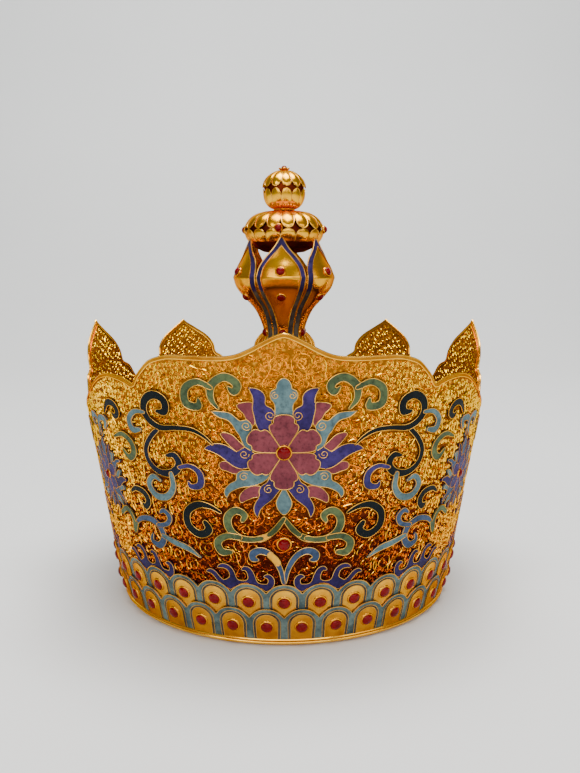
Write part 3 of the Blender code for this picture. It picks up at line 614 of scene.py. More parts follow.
# The front's scrolls: (colour on the right, colour on the left, points of the right one)
FRONT_SCROLLS = (
    # The dark vine and its curls
    ("dark", "navy", (
        (57.6, 108.8, 1.2), (63.0, 103.6, 1.3), (66.8, 97.0, 1.4), (65.2, 90.4, 1.5), (59.5, 86.8, 1.7),
        (52.4, 87.6, 2.0), (48.3, 92.0, 1.9), (50.4, 96.6, 1.6), (54.6, 95.8, 0.9),
    )),
    ("dark", "dark", (
        (30.6, 103.4, 0.45), (34.6, 107.2, 0.8), (40.0, 109.9, 1.1), (48.0, 110.3, 1.2), (55.9, 109.6, 1.5),
        (61.8, 112.4, 1.7), (64.4, 117.2, 1.9), (62.6, 122.6, 2.0), (57.4, 125.4, 2.0), (52.3, 122.8, 1.9),
        (52.6, 117.6, 1.8), (56.8, 117.4, 1.1),
    )),
    ("teal", "teal", (
        (64.6, 116.2, 0.9), (70.6, 115.8, 1.3), (75.2, 111.4, 1.6), (73.8, 106.4, 1.8), (69.0, 107.0, 1.2),
    )),
    ("violet", "violet", (
        (48.6, 90.6, 1.0), (43.0, 92.0, 1.2), (38.3, 89.0, 1.6), (38.4, 83.0, 1.8), (43.4, 81.6, 1.3),
        (44.4, 84.0, 0.6),
    )),
    ("teal", "teal", (
        (53.4, 87.0, 1.2), (53.2, 80.0, 1.6), (57.4, 74.6, 1.8), (64.4, 74.0, 1.9), (68.2, 79.2, 1.7),
        (64.6, 84.0, 1.4), (60.8, 82.4, 0.9),
    )),
    # The scroll below the vine
    ("dark", "dark", (
        (29.4, 69.8, 0.7), (34.4, 72.4, 1.2), (41.0, 72.8, 1.8), (46.8, 68.4, 1.9), (47.0, 61.4, 2.0),
        (41.4, 57.4, 2.0), (36.0, 60.2, 1.9), (37.8, 64.0, 1.4),
    )),
    # The two green scrolls beside the flower's top
    ("green", "green", (
        (27.0, 120.8, 0.6), (30.0, 125.6, 1.4), (29.2, 132.0, 1.8), (23.6, 135.7, 1.9), (18.6, 132.4, 1.8),
        (20.2, 128.4, 1.4), (22.4, 131.2, 0.6),
    )),
    ("green", "green", (
        (29.6, 130.4, 1.0), (35.6, 133.0, 1.5), (41.2, 129.6, 1.8), (41.4, 122.6, 1.9), (35.6, 121.4, 1.7),
        (35.6, 125.2, 0.7),
    )),
    # The vine below the flower, with bare gilt where its enamel is lost
    ("moss", "scale", ((6.2, 60.2, 1.2), (9.0, 58.4, 1.6), (12.0, 57.4, 1.6))),
    ("moss", "moss", ((0.0, 68.3, 1.0), (3.8, 62.8, 1.4), (7.2, 59.6, 1.2))),
    ("green", "green", (
        (10.4, 57.9, 1.2), (15.2, 57.0, 1.4), (21.2, 57.8, 1.6), (25.8, 62.0, 1.9), (26.2, 67.8, 1.9),
        (22.4, 71.6, 1.8), (18.0, 69.6, 1.5), (19.4, 66.4, 1.0),
    )),
    ("green", "green", (
        (21.0, 57.8, 1.4), (27.6, 58.0, 1.6), (32.2, 54.4, 1.9), (30.6, 49.6, 2.0), (25.8, 49.8, 1.2),
    )),
    # The scroll below the stone, with its bare patch
    ("slate", "slate", (
        (0.3, 34.4, 0.9), (1.8, 41.6, 1.2), (5.4, 48.2, 1.5), (10.4, 51.4, 1.7), (14.8, 50.0, 1.9),
        (15.2, 46.8, 1.5), (12.8, 46.6, 0.9),
    )),
    (None, "scale", ((3.0, 45.0, 1.5), (4.4, 47.0, 1.7), (6.6, 49.2, 1.6))),
    # The scrolls beside the front
    ("slate", "slate", (
        (84.5, 54.4, 0.9), (79.4, 58.6, 1.4), (71.6, 60.2, 1.7), (65.2, 57.2, 1.8), (63.6, 51.4, 1.9),
        (67.4, 46.8, 1.9), (72.6, 48.4, 1.4), (71.4, 52.0, 0.8),
    )),
    ("teal", "teal", ((42.3, 44.9, 0.4), (48.6, 48.6, 1.5), (56.0, 50.4, 1.6), (64.0, 52.8, 1.2))),
    ("slate", "slate", (
        (66.4, 58.0, 1.2), (60.0, 59.8, 1.3), (57.8, 63.8, 1.5), (61.0, 66.8, 1.3), (63.8, 65.0, 0.7),
    )),
    ("green", "green", (
        (83.0, 55.6, 0.9), (86.4, 50.0, 1.3), (86.0, 57.0, 1.4), (90.7, 61.6, 1.5), (97.8, 57.6, 1.4),
    )),
)

# The big flower's right half, from its centre
FLOWER_HEIGHT = 100.9
LOWER_STONE_HEIGHT = 54.9
# Its leaves: (colour, outline, middle of the curl, the way that the curl turns)
LEAVES = (
    ("blue", (
        (14.3, 30.1), (13.0, 27.4), (12.4, 24.6), (12.8, 20.5), (12.2, 17.0), (11.4, 12.8), (9.0, 8.5),
        (5.0, 10.5), (5.1, 14.9), (3.9, 16.4), (3.6, 18.6), (4.8, 20.7), (6.6, 21.7), (7.6, 22.5),
        (7.3, 25.4), (8.0, 27.8), (10.1, 29.5), (12.2, 30.1),
    ), (5.6, 17.3), 1),
    ("teal", (
        (30.6, 18.8), (27.4, 16.0), (23.4, 14.8), (21.3, 12.4), (20.4, 10.3), (18.6, 7.6), (17.2, 3.4),
        (15.0, 1.0), (11.5, 0.4), (10.5, 3.5), (13.4, 6.4), (13.6, 8.5), (13.0, 12.1), (13.9, 14.1),
        (15.7, 15.3), (18.0, 14.5), (20.4, 16.7), (22.6, 18.3), (25.8, 18.7),
    ), (15.6, 12.3), 1),
    ("blue", (
        (35.0, 0.2), (31.0, -1.0), (27.6, -2.8), (25.0, -4.9), (22.6, -6.9), (19.8, -8.2), (16.8, -8.2),
        (13.6, -7.0), (11.2, -5.2), (11.4, -1.5), (13.2, -0.1), (14.7, 1.0), (16.6, 2.1), (18.6, 1.1),
        (20.2, -0.2), (22.2, 1.2), (24.9, 2.8), (28.2, 3.4), (31.6, 2.8), (34.0, 1.5),
    ), (17.0, -1.2), 1),
    ("teal", (
        (25.8, -23.4), (24.5, -20.6), (22.0, -18.9), (19.1, -17.6), (15.7, -17.0), (12.3, -16.1),
        (9.2, -14.5), (6.6, -12.0), (5.6, -8.2), (8.8, -9.2), (12.8, -9.0), (15.7, -9.1), (19.4, -9.5),
        (21.0, -11.8), (21.0, -14.0), (23.9, -15.7), (26.5, -18.6), (27.1, -21.6),
    ), (17.6, -12.3), -1),
    ("blue", (
        (12.1, -32.7), (11.2, -30.0), (10.3, -27.7), (7.8, -25.3), (5.1, -23.0), (2.7, -19.5), (1.0, -16.9),
        (1.6, -12.6), (5.3, -10.8), (7.6, -14.8), (9.6, -16.0), (11.2, -19.0), (10.8, -21.3), (12.6, -24.4),
        (13.7, -27.4), (13.4, -30.1),
    ), (6.9, -18.2), -1),
)
OUTER_PETALS = (
    ((12.2, 22.6), (14.5, 23.5), (17.3, 23.1), (19.5, 22.0), (18.1, 19.6), (16.3, 17.6), (14.8, 13.5),
     (12.0, 13.2)),
    ((16.6, 2.0), (18.8, 4.7), (21.2, 7.4), (23.8, 8.7), (27.1, 8.5), (25.6, 5.7), (23.5, 3.0), (20.9, 0.4),
     (18.6, -0.8)),
    ((17.7, -7.3), (22.6, -5.3), (26.0, -5.0), (28.5, -6.1), (28.0, -9.0), (24.9, -9.9), (22.9, -10.8),
     (19.5, -10.9)),
    ((9.7, -17.3), (13.0, -16.4), (17.1, -18.1), (20.0, -21.8), (19.6, -25.4), (16.7, -23.8), (13.2, -22.3),
     (10.2, -21.7)),
)
TREFOIL = whole((0.0, 34.9), (
    (1.8, 33.8), (3.0, 31.7), (3.1, 29.6), (4.8, 29.2), (5.6, 27.6), (5.3, 24.9), (3.9, 23.1), (3.6, 20.0),
    (4.2, 16.0),
), (0, 15.0))
DROP = whole((0, -16.5), ((2.0, -20.6), (3.6, -24.6), (2.6, -28.4)), (0, -31.0))
# Half of a petal that points up, from its root to its tip; the two corners are its notches
PETAL_HALF = (
    (1.2, 2.2), (3.15, 5.6), (4.85, 8.6), (5.9, 11.0), (6.1, 12.4), (5.6, 13.6), (3.9, 13.8), (4.5, 15.2),
    (3.8, 16.9), (2.0, 17.8),
)
PETAL_TIP = (0, 18.0)
PETAL_NOTCH = 6
SIDE_PETAL = 0.94

SIDE_UNITS = (58, 103, 143, 180, -143, -103, -58)
SIDE_FLOWER_HEIGHT = 77.0
SIDE_FLOWER_SIZE = 0.58
SIDE_FLOWER_COLOURS = {"teal": "slate", "mauve": "teal", "blue": "indigo"}
# Scrolls of a side unit, from its own middle: (colour, points)
FRONTWARD_SCROLLS = (
    ("green", (
        (-16, 100.2, 0.7), (-23.7, 102.7, 1.4), (-29.7, 99.6, 1.8), (-30.8, 94.5, 1.9), (-26.8, 91, 1.7),
        (-22.4, 94.4, 1.0),
    )),
    ("teal", (
        (-2.2, 98.3, 0.7), (0.5, 104.1, 1.4), (-3.6, 108.0, 1.7), (-9.4, 107.5, 1.7), (-7.4, 103.2, 1.1),
    )),
)
TALL_SCROLLS = (
    ("dark", ((-7.3, 111.6, 0.8), (-8.4, 118.3, 1.5), (-5.6, 124.2, 1.6), (-1.6, 123.0, 1.1))),
    ("slate", (
        (-11.0, 52.0, 0.9), (-17.0, 57.0, 1.4), (-25.0, 58.5, 1.7), (-30.6, 53.6, 1.8), (-28.4, 47.4, 1.7),
        (-24.0, 49.6, 1.0),
    )),
    ("green", ((-12.0, 55.0, 0.8), (-11.0, 60.0, 1.3), (-6.0, 61.0, 1.2))),
)
LOW_SCROLL = ("dark", (
    (-10.3, 111.6, 0.8), (-14.7, 117.3, 1.6), (-20.2, 117.7, 1.8), (-23.1, 113.6, 1.7), (-20, 110.9, 1.4),
    (-17.8, 113.2, 0.7),
))
NEAR_FRONT_SCROLL = ("dark", (
    (-23.1, 72.5, 0.8), (-27.3, 75.1, 1.4), (-33.4, 74, 1.8), (-35.8, 69.9, 1.8), (-33, 66.1, 1.5),
    (-31.2, 68, 0.8),
))

# One wave, from the valley between two scales
WAVE_CRESTS = (
    ((-0.4, 31.2, 1.5), (-2.5, 33.4, 1.6), (-2.8, 36.3, 1.5), (-1.2, 38.2, 1.15), (0.7, 37.7, 0.55)),
    ((4.1, 31.9, 1.6), (6.4, 34.6, 2.1), (7.1, 38.2, 1.7), (8.5, 41.2, 1.4), (10.5, 41.9, 1.0),
     (11.7, 40.7, 0.5)),
    ((15.6, 33.0, 1.8), (16.4, 36.6, 1.6), (17.2, 39.8, 1.35), (19.3, 41.9, 1.3), (22.2, 42.1, 1.1),
     (24.1, 41.1, 0.5)),
    ((21.0, 32.4, 1.2), (22.6, 33.2, 1.5), (24.7, 35.7, 1.35), (26.7, 38.0, 1.3), (28.7, 38.8, 1.1),
     (30.2, 37.9, 0.6)),
)
WAVE_BASE = (
    (-1.6, 31.6), (0, 29.4), (2.2, 31.4), (5.0, 33.1), (9.2, 33.9), (13.3, 33.1), (16.0, 31.4), (18.3, 29.4),
    (20.6, 31.0), (22.8, 31.8), (23.0, 33.8), (20.8, 34.6), (18.6, 36.2), (16.0, 36.8), (14.0, 35.4),
    (11.8, 34.9), (9.2, 35.6), (7.6, 36.6), (5.6, 36.2), (4.4, 34.6), (2.2, 33.8), (-0.6, 33.6),
)

# Levels above the wall's face, in millimetres
ENAMEL_FOOT = 0.1
ENAMEL_TOP = 0.8
PETAL_FOOT = 0.95
PETAL_TOP = 1.6
STONE_SUNK = 0.2
WIRE_RADIUS = 0.18

# The map of where enamel lies on the wall: its cell and its corner in millimetres, and its size in cells
CELL = 0.3
MAP_LOW = (-345.0, 20.0)
MAP_SIZE = np.array((2300, 470))
MAP_MARGIN = 0.08
taken = np.zeros(MAP_SIZE, bool)
# Upright cuts through the enamel, so that it bends with the wall, and the shortest border that gets a wire
CUT_EVERY = 4.0
SHORTEST_WIRE = 0.8


def is_taken(*place):
    """Whether enamel covers the flat places (u, v)."""
    cells = [((x - low) / CELL).astype(int) for x, low in zip(place, MAP_LOW)]
    i, j = (np.clip(cell, 0, size - 1) for cell, size in zip(cells, MAP_SIZE))
    return taken[i, j]


def petal(turn):
    """One petal of the big flower, turned about the flower's middle, in degrees."""
    points = [*PETAL_HALF, PETAL_TIP, *mirrored(reversed(PETAL_HALF))]
    last = len(points) - 1
    u, v = outline(points, (0, PETAL_NOTCH, last - PETAL_NOTCH, last)).T
    c, s = math.cos(math.radians(turn)), math.sin(math.radians(turn))
    return np.column_stack((c * u - s * v, s * u + c * v))


def flower_shapes(place, size):
    """A flower's leaves as (colour, outline), the lowest first."""
    shapes = [("mauve", outline(side)) for points in OUTER_PETALS for side in (points, mirrored(points))]
    shapes.append(("teal", outline(TREFOIL, (0,))))
    for colour, points, _, _ in LEAVES:
        shapes += [(colour, outline(side, (0,))) for side in (points, mirrored(points))]
    shapes.append(("teal", outline(DROP, (0,))))
    return [(colour, shape * size + place) for colour, shape in shapes]


class Enamel:
    """Flat shapes in one plane, as (colour, polygons); where two overlap, the later one is on top."""

    def __init__(self, shapes):
        """Splits the plane into triangles, each with the number of its top shape."""
        self.colours = [colour for colour, _ in shapes]
        points, faces, owner_shape = [], [], []
        for number, (_, polygons) in enumerate(shapes):
            for polygon in polygons:
                u, v = polygon.T
                if np.sum(u * np.roll(v, -1) - np.roll(u, -1) * v) < 0:
                    polygon = polygon[::-1]
                faces.append(list(range(len(points), len(points) + len(polygon))))
                points += [Vector(p) for p in polygon]
                owner_shape.append(number)
        left, right = min(p.x for p in points), max(p.x for p in points)
        foot, head = min(p.y for p in points) - 1, max(p.y for p in points) + 1
        edges = []
        for u in np.arange(left + CUT_EVERY, right, CUT_EVERY):
            edges.append((len(points), len(points) + 1))
            points += [Vector((u, foot)), Vector((u, head))]
        corners, _, triangles, _, _, owners = geometry.delaunay_2d_cdt(points, edges, faces, 0, 1e-4)
        top = np.array([max((owner_shape[i] for i in owner), default=-1) for owner in owners])
        self.corners = np.array([tuple(c) for c in corners])
        self.triangles = np.array(triangles)[top >= 0]
        self.top = top[top >= 0]
        self.mark()

    def mark(self, shift=0.0):
        """Marks its cells in the map of the wall."""
        for triangle in self.corners[self.triangles] + (shift, 0.0):
            low = np.floor((triangle.min(axis=0) - MAP_LOW) / CELL).astype(int)
            high = np.ceil((triangle.max(axis=0) - MAP_LOW) / CELL).astype(int) + 1
            low, high = np.clip(low, 0, MAP_SIZE - 1), np.clip(high, 1, MAP_SIZE)
            us, vs = (start + (np.arange(a, b) + 0.5) * CELL for start, a, b in zip(MAP_LOW, low, high))
            grid_u, grid_v = np.meshgrid(us, vs, indexing="ij")
            inside = np.ones(grid_u.shape, bool)
            for a, b in zip(triangle, np.roll(triangle, -1, axis=0)):
                inside &= (b[0] - a[0]) * (grid_v - a[1]) - (b[1] - a[1]) * (grid_u - a[0]) >= -MAP_MARGIN
            taken[low[0]:high[0], low[1]:high[1]] |= inside

    def plates(self, piece, low, high):
        """A closed plate for each shape."""
        for number, colour in enumerate(self.colours):
            used, flat = np.unique(self.triangles[self.top == number], return_inverse=True)
            count = len(used)
            if not count:
                continue
            flat = flat.reshape(-1, 3).tolist()
            directed = {edge: True for a, b, c in flat for edge in ((a, b), (b, c), (c, a))}
            sides = [(a, a + count, b + count, b) for a, b in directed if (b, a) not in directed]
            under = [[i + count for i in reversed(face)] for face in flat]
            layers = [np.column_stack((self.corners[used], np.full(count, level))) for level in (high, low)]
            piece.add(on_wall(np.concatenate(layers)), [*flat, *under, *sides], colour)

    def wires(self, piece, level, section, step):
        """Gold wires along every border between shapes, and along the outer ones."""
        border = {}
        for number, (a, b, c) in zip(self.top.tolist(), self.triangles.tolist()):
            for edge in ((a, b), (b, c), (c, a)):
                border.setdefault((min(edge), max(edge)), []).append(number)
        links = {}
        for (a, b), numbers in border.items():
            if len(numbers) == 1 or numbers[0] != numbers[1]:
                links.setdefault(a, set()).add(b)
                links.setdefault(b, set()).add(a)
        for start in [n for n, near in links.items() if len(near) != 2] + list(links):
            while links[start]:
                chain = [start]
                while len(chain) == 1 or (chain[-1] != start and len(links[chain[-1]]) == 1):
                    here = chain[-1]
                    onward = next(iter(links[here]))
                    links[here].discard(onward)
                    links[onward].discard(here)
                    chain.append(onward)
                closed = chain[-1] == start and len(chain) > 3
                path = self.corners[chain[:-1] if closed else chain]
                if np.linalg.norm(np.diff(path, axis=0), axis=1).sum() >= SHORTEST_WIRE:
                    path = smoothed(resampled(path, 0.5, closed), 3, closed)
                    flat_tube(piece, resampled(path, step, closed), level, section, "wire", closed)

    def lay(self, piece, foot=ENAMEL_FOOT, top=ENAMEL_TOP, radius=WIRE_RADIUS, sides=6, step=0.85):
        self.plates(piece, foot, top)
        self.wires(piece, top, round_section(radius, sides), step)


# The enamel of the front

front = []
for side in (0, 1):
    for *colours, points in FRONT_SCROLLS:
        if colours[side]:
            front.append((colours[side], scroll(mirrored(points) if side else points)))
piece = Piece("front_scrolls", "enamel_dark")
Enamel(front).lay(piece)
piece.finish(
    "vine_left", "vine_right", "mid_scroll_left", "mid_scroll_right", "green_scroll_left",
    "green_scroll_right", "lower_vine", "twin_scroll", "side_vine_left", "side_vine_right",
)

# The gold spirals in the leaves' curls and at the trefoil's sides: radii, and the place of the latter
LEAF_CURL = 2.2
TREFOIL_CURL = (3.4, 26.6)
TREFOIL_CURL_RADIUS = 1.7


def curl_wire(piece, u, v, radius, hand, start):
    """A gold spiral laid in a leaf's curl, placed from the flower's middle."""
    turn = np.linspace(0, 2.7 * math.pi, 22)
    reach = radius * (1 - 0.78 * turn / turn[-1])
    angle = start + hand * turn
    path = np.column_stack((u + reach * np.cos(angle), FLOWER_HEIGHT + v + reach * np.sin(angle)))
    flat_tube(piece, path, ENAMEL_TOP, round_section(WIRE_RADIUS * 0.9, 6), "wire")


piece = Piece("flower_leaf_enamel", "enamel_blue")
Enamel([(colour, [shape]) for colour, shape in flower_shapes((0.0, FLOWER_HEIGHT), 1.0)]).lay(piece)
for _, _, (u, v), hand in LEAVES:
    for mirror in (1, -1):
        curl_wire(piece, mirror * u, v, LEAF_CURL, mirror * hand, math.atan2(-v, -u * mirror))
for mirror in (1, -1):
    u, v = TREFOIL_CURL
    curl_wire(piece, mirror * u, v, TREFOIL_CURL_RADIUS, -mirror, math.pi / 2)
piece.finish("flower_leaves")

piece = Piece("flower_petal_enamel", "enamel_mauve")
petals = []
for number in range(6):
    size = 1.0 if number % 3 == 0 else SIDE_PETAL
    petals.append(("mauve", [petal(60 * number) * size + (0.0, FLOWER_HEIGHT)]))
Enamel(petals).lay(piece, PETAL_FOOT, PETAL_TOP)
piece.finish("flower_petals")

piece = Piece("flower_stone", "ruby")
set_stone(piece, wall_place(0, FLOWER_HEIGHT, PETAL_TOP - STONE_SUNK), radius=3.1, height=2.6, sides=28)
piece.finish("flower_ruby")
piece = Piece("lower_stone", "ruby")
set_stone(piece, wall_place(0, LOWER_STONE_HEIGHT, 0.3), radius=3.0, height=2.9, sides=28)
piece.finish("lower_ruby")

# The waves and the enamel of the other lobes

piece = Piece("wave_enamel", "enamel_blue")
wave = [outline(WAVE_BASE)] + [part for crest in WAVE_CRESTS for part in scroll(crest)]
for step in range(6):
    for mirror in (1, -1):
        parts = [(part + (to_u(5 + 30 * step), 0.0)) * (mirror, 1) for part in wave]
        Enamel([("violet" if step % 3 == 2 else "indigo", parts)]).lay(piece, sides=4, step=1.1)
piece.finish(*(f"wave_{number:02d}" for number in range(1, 13)))

side_flowers = Piece("side_flower_enamel", "enamel_blue")
side_scrolls = Piece("side_scroll_enamel", "enamel_teal")
for angle in SIDE_UNITS:
    place = (to_u(angle), SIDE_FLOWER_HEIGHT)
    leaves = flower_shapes(place, SIDE_FLOWER_SIZE)
    leaves = [(SIDE_FLOWER_COLOURS[colour], [shape]) for colour, shape in leaves]
    petals = [("blue", [petal(60 * number) * SIDE_FLOWER_SIZE + place]) for number in range(6)]
    bloom = Enamel(leaves + petals)
    bloom.lay(side_flowers, radius=0.13, sides=4, step=1.4)
    set_stone(side_flowers, wall_place(*place, ENAMEL_TOP - STONE_SUNK), radius=2.1)
    scrolls = [(*shape, mirror) for shape in FRONTWARD_SCROLLS for mirror in (1, -1)]
    if abs(angle) == SIDE_UNITS[0]:
        towards = 1 if angle > 0 else -1
        scrolls += [(*LOW_SCROLL, towards), (*NEAR_FRONT_SCROLL, towards), (*TALL_SCROLLS[1], -towards)]
    else:
        scrolls += [(*shape, mirror) for shape in TALL_SCROLLS for mirror in (1, -1)]
    scrolls = Enamel([
        (colour, scroll([(place[0] + mirror * p[0], *p[1:]) for p in points]))
        for colour, points, mirror in scrolls
    ])
    scrolls.lay(side_scrolls, sides=4, step=1.1)
    if angle == 180:
        bloom.mark(-AROUND)
        scrolls.mark(-AROUND)
side_flowers.finish(*(f"side_flower_{number}" for number in range(1, 8)))
side_scrolls.finish()


# The wall and its filigree


def add_wall_sheet(columns=720, rows=12):
    """The smooth thin sheet behind the coils, closed all round, where the openwork would show only the shaded
    inside.
    """
    us = np.linspace(-AROUND / 2, AROUND / 2, columns, endpoint=False)
    share = np.linspace(0, 1, rows)
    heights = WALL_FOOT + (edge_height(us)[:, None] - WALL_FOOT) * share
    wide = np.repeat(us, rows)
    layers = [on_wall(np.column_stack((wide, heights.ravel(), np.full_like(wide, w)))) for w in (0.0, -1.0)]
    total = columns * rows
    a = np.arange(columns)[:, None]
    b = (a + 1) % columns
    r = np.arange(rows - 1)
    quads = np.stack((a * rows + r, b * rows + r, b * rows + r + 1, a * rows + r + 1), axis=-1).reshape(-1, 4)
    a, b = a.ravel() * rows, b.ravel() * rows
    foot = np.stack((a, a + total, b + total, b), axis=1)
    top = np.stack((a, b, b + total, a + total), axis=1) + rows - 1
    piece = Piece("wall_sheet", "gold_filigree")
    faces = np.concatenate((quads, quads[:, ::-1] + total, foot, top))
    # The sheet's colour is painted shade of the crown's inside
    piece.add(np.concatenate(layers), faces.tolist(), "shade_sheet")
    piece.finish("filigree_wall")


# A coil's wire: half of its width and its height
COIL_WIRE = (0.27, 0.34)
# Coil wires are slimmer low down: two heights and the shares of the width there
SLIM = ((50.0, 84.0), (0.62, 1.0))
# At least this share of both radii lies between two coils' middles; neighbours are looked up by cells
COIL_TOUCH = 0.94
COIL_CELL = 4.0
# The heights between which coils may stand, and where those of the inner face begin
COILS_FROM = 31.0
COILS_TO = 156.0
INNER_COILS_FROM = 84.0
# In degrees: a sector of the outer face, how far round the fine coils reach, and what stays smooth on a wire
SECTOR = 45
NEAR_FRONT_ANGLE = 75
WIRE_ANGLE = 85
# The stems' wire as (across, up), its level, and where stems may lie
STEM_WIRE = np.array(((-0.26, -0.1), (0.26, -0.1), (0.0, 0.22)))
STEM_LEVEL = 0.4
STEMS_FROM = 36.0
STEM_LOWEST = 33.0
STEM_BELOW_EDGE = 2.4
# The points of a stem's spiral, the fewest that a run may have, and its tail's steps
STEM_POINTS = 21
SHORTEST_STEM = 7
TAIL_STEPS = 10
TAIL_STEP = 0.95
# The rim: the radii of its two wires, and the strip between them
EDGE_WIRE = 0.62
SECOND_WIRE = 0.27
RIM_STRIP = 1.3
STRIP_HALF_THICKNESS = 0.14


def add_coils(piece, coils, points, turns, level=0.0, up=1.0):
    """Many coils at once; each has a triangular wire that stands on the sheet."""
    count = len(coils)
    if not count:
        return
    u, v, radius = coils.T[:, :, None]
    turn = np.linspace(0, 2 * math.pi * turns, points)
    reach = 0.22 + 0.78 * np.minimum(1.0, turn / (turn[-1] * 0.78)) ** 0.9
    spin = RNG.uniform(0, 2 * math.pi, count)[:, None]
    hand = RNG.choice((-1.0, 1.0), count)[:, None]
    stretch = RNG.uniform(0.9, 1.08, count)[:, None]
    x = (reach * np.cos(turn))[None, :] * radius * stretch
    y = (reach * np.sin(turn))[None, :] * radius * hand / stretch
    c, s = np.cos(spin), np.sin(spin)
    path = np.stack((x * c - y * s + u, x * s + y * c + v), axis=2)
    along = np.gradient(path, axis=1)
    along /= np.linalg.norm(along, axis=2, keepdims=True)
    across = np.stack((-along[:, :, 1], along[:, :, 0]), axis=2)
    half, rise = COIL_WIRE
    section = np.array(((-half, -0.05), (half, -0.05), (0.0, rise)))
    slim = np.interp(v, *SLIM)[:, :, None, None]
    plan = path[:, :, None] + across[:, :, None] * section[:, :1] * slim
    ups = np.broadcast_to(level + up * section[:, 1:], (*plan.shape[:3], 1))
    flat = np.concatenate((plan, ups), axis=3).reshape(-1, 3)
    one = tube_faces(points, 3, False)
    if up < 0:
        one = [face[::-1] for face in one]
    offsets = [number * points * 3 for number in range(count)]
    parts = (one[:-2], one[-2:])
    faces = [[i + offset for i in face] for part in parts for offset in offsets for face in part]
    piece.add(on_wall(flat), faces, "coils")


def scatter(tries, radii, lowest, below_edge, placed=None):
    """Circles at random that clear the edge and each other, and with placed also the enamel and all in it."""
    u = RNG.uniform(-AROUND / 2, AROUND / 2, tries)
    v = RNG.uniform(lowest, COILS_TO, tries)
    r = RNG.uniform(*radii, tries)
    keep = np.ones(tries, bool)
    for turn in np.linspace(0, 2 * math.pi, 8, endpoint=False):
        keep &= v + r * math.sin(turn) < edge_height(u + r * math.cos(turn)) - below_edge
    if placed is None:
        placed = {}
    else:
        keep &= ~is_taken(u, v)
        for turn in np.linspace(0, 2 * math.pi, 10, endpoint=False):
            keep &= ~is_taken(u + 0.9 * r * math.cos(turn), v + 0.9 * r * math.sin(turn))
    chosen = []
    for one in np.column_stack((u, v, r))[keep].tolist():
        i, j = int(one[0] // COIL_CELL), int(one[1] // COIL_CELL)
        near = [other for a in (-1, 0, 1) for b in (-1, 0, 1) for other in placed.get((i + a, j + b), ())]
        if all(
            (one[0] - u) ** 2 + (one[1] - v) ** 2 >= (COIL_TOUCH * (one[2] + r)) ** 2 for u, v, r in near
        ):
            placed.setdefault((i, j), []).append(one)
            chosen.append(one)
    return np.array(chosen)


def add_filigree():
    """The outer face's coils in sectors: finer ones round the front, plainer ones behind."""
    placed = {}
    large = scatter(60000, (1.25, 1.7), COILS_FROM, below_edge=1.5, placed=placed)
    small = scatter(60000, (0.7, 1.0), COILS_FROM, below_edge=1.4, placed=placed)
    for number in range(8):
        low = -180 + SECTOR * number
        piece = Piece(f"filigree_{number + 1}", "gold_filigree")
        near_front = abs(low + SECTOR / 2) < NEAR_FRONT_ANGLE
        front_rows = ((large, 15, 1.8), (small, 8, 1.05))
        rear_rows = ((large, 10, 1.3), (small[::2], 8, 1.05))
        for coils, points, turns in front_rows if near_front else rear_rows:
            angles = np.degrees(coils[:, 0] / UNROLL_RADIUS)
            add_coils(piece, coils[(angles >= low) & (angles < low + SECTOR)], points, turns)
        piece.finish(angle=WIRE_ANGLE)
    inner = scatter(50000, (1.4, 2.0), INNER_COILS_FROM, below_edge=1.6)
    on_left = inner[:, 0] < 0
    for name, half in (("left", inner[on_left]), ("right", inner[~on_left])):
        piece = Piece(f"filigree_inside_{name}", "gold_filigree")
        add_coils(piece, half, 8, 1.15, level=-1.0, up=-1.0)
        piece.finish(angle=WIRE_ANGLE)


def add_stems():
    """Flowing gold stems over the coils: a spiral that unwinds into a gently bending tail."""
    piece = Piece("filigree_stems", "gold_filigree")
    turn = np.linspace(0, 3.2 * math.pi, STEM_POINTS)
    for u, v, radius in scatter(9000, (3.6, 6.2), STEMS_FROM, below_edge=3.0).tolist():
        spin = random.uniform(0, 2 * math.pi)
        hand = random.choice((-1, 1))
        reach = radius * (0.2 + 0.8 * turn / turn[-1])
        angle = spin + hand * turn
        spiral = np.column_stack((u + reach * np.cos(angle), v + reach * np.sin(angle)))
        heading = spin + hand * (turn[-1] + math.pi / 2)
        tail = [spiral[-1]]
        for step in range(TAIL_STEPS):
            heading -= hand * 0.13 * step / 5
            tail.append(tail[-1] + TAIL_STEP * np.array((math.cos(heading), math.sin(heading))))
        path = np.concatenate((spiral, tail[1:]))
        us, vs = path.T
        free = ~is_taken(us, vs) & (vs > STEM_LOWEST) & (vs < edge_height(us) - STEM_BELOW_EDGE)
        for run in np.split(np.arange(len(path)), np.flatnonzero(np.diff(free.astype(int))) + 1):
            if free[run[0]] and len(run) >= SHORTEST_STEM:
                flat_tube(piece, path[run], STEM_LEVEL, STEM_WIRE, "coils")
    piece.finish(angle=WIRE_ANGLE)


def inside_edge(offset):
    """The top edge's line moved down into the wall, without the loops that sharp corners would make."""
    whole_edge = EDGE[:-1]
    along = tangents(whole_edge, True, AROUND)
    line = whole_edge - np.column_stack((-along[:, 1], along[:, 0])) * offset
    padded = np.concatenate([whole_edge + (shift, 0) for shift in (-AROUND, 0, AROUND)])
    gaps = np.sqrt(((line[:, None, :] - padded[None, :, :]) ** 2).sum(axis=2)).min(axis=1)
    return smoothed(line[gaps > offset * 0.93], 2, True, AROUND)


def add_rim():
    """The bright edge wire, a plain strip below it on both faces, and a thin second wire."""
    piece = Piece("wall_rim", "gold")
    flat_tube(piece, EDGE[:-1], -0.5, round_section(EDGE_WIRE, 8), "rim", True, AROUND)
    for level in (0.3, -1.3):
        flat_tube(piece, inside_edge(RIM_STRIP), level, round_section(SECOND_WIRE, 4), "rim", True, AROUND)
    half, rise = RIM_STRIP / 2, STRIP_HALF_THICKNESS
    section = np.array(((-half, -rise), (half, -rise), (half, rise), (-half, rise)))
    for level in (0.14, -1.14):
        flat_tube(piece, inside_edge(half), level, section, "strip", True, AROUND)
    piece.finish()


add_wall_sheet()
add_filigree()
add_stems()
add_rim()


# The two rows of scales and the foot

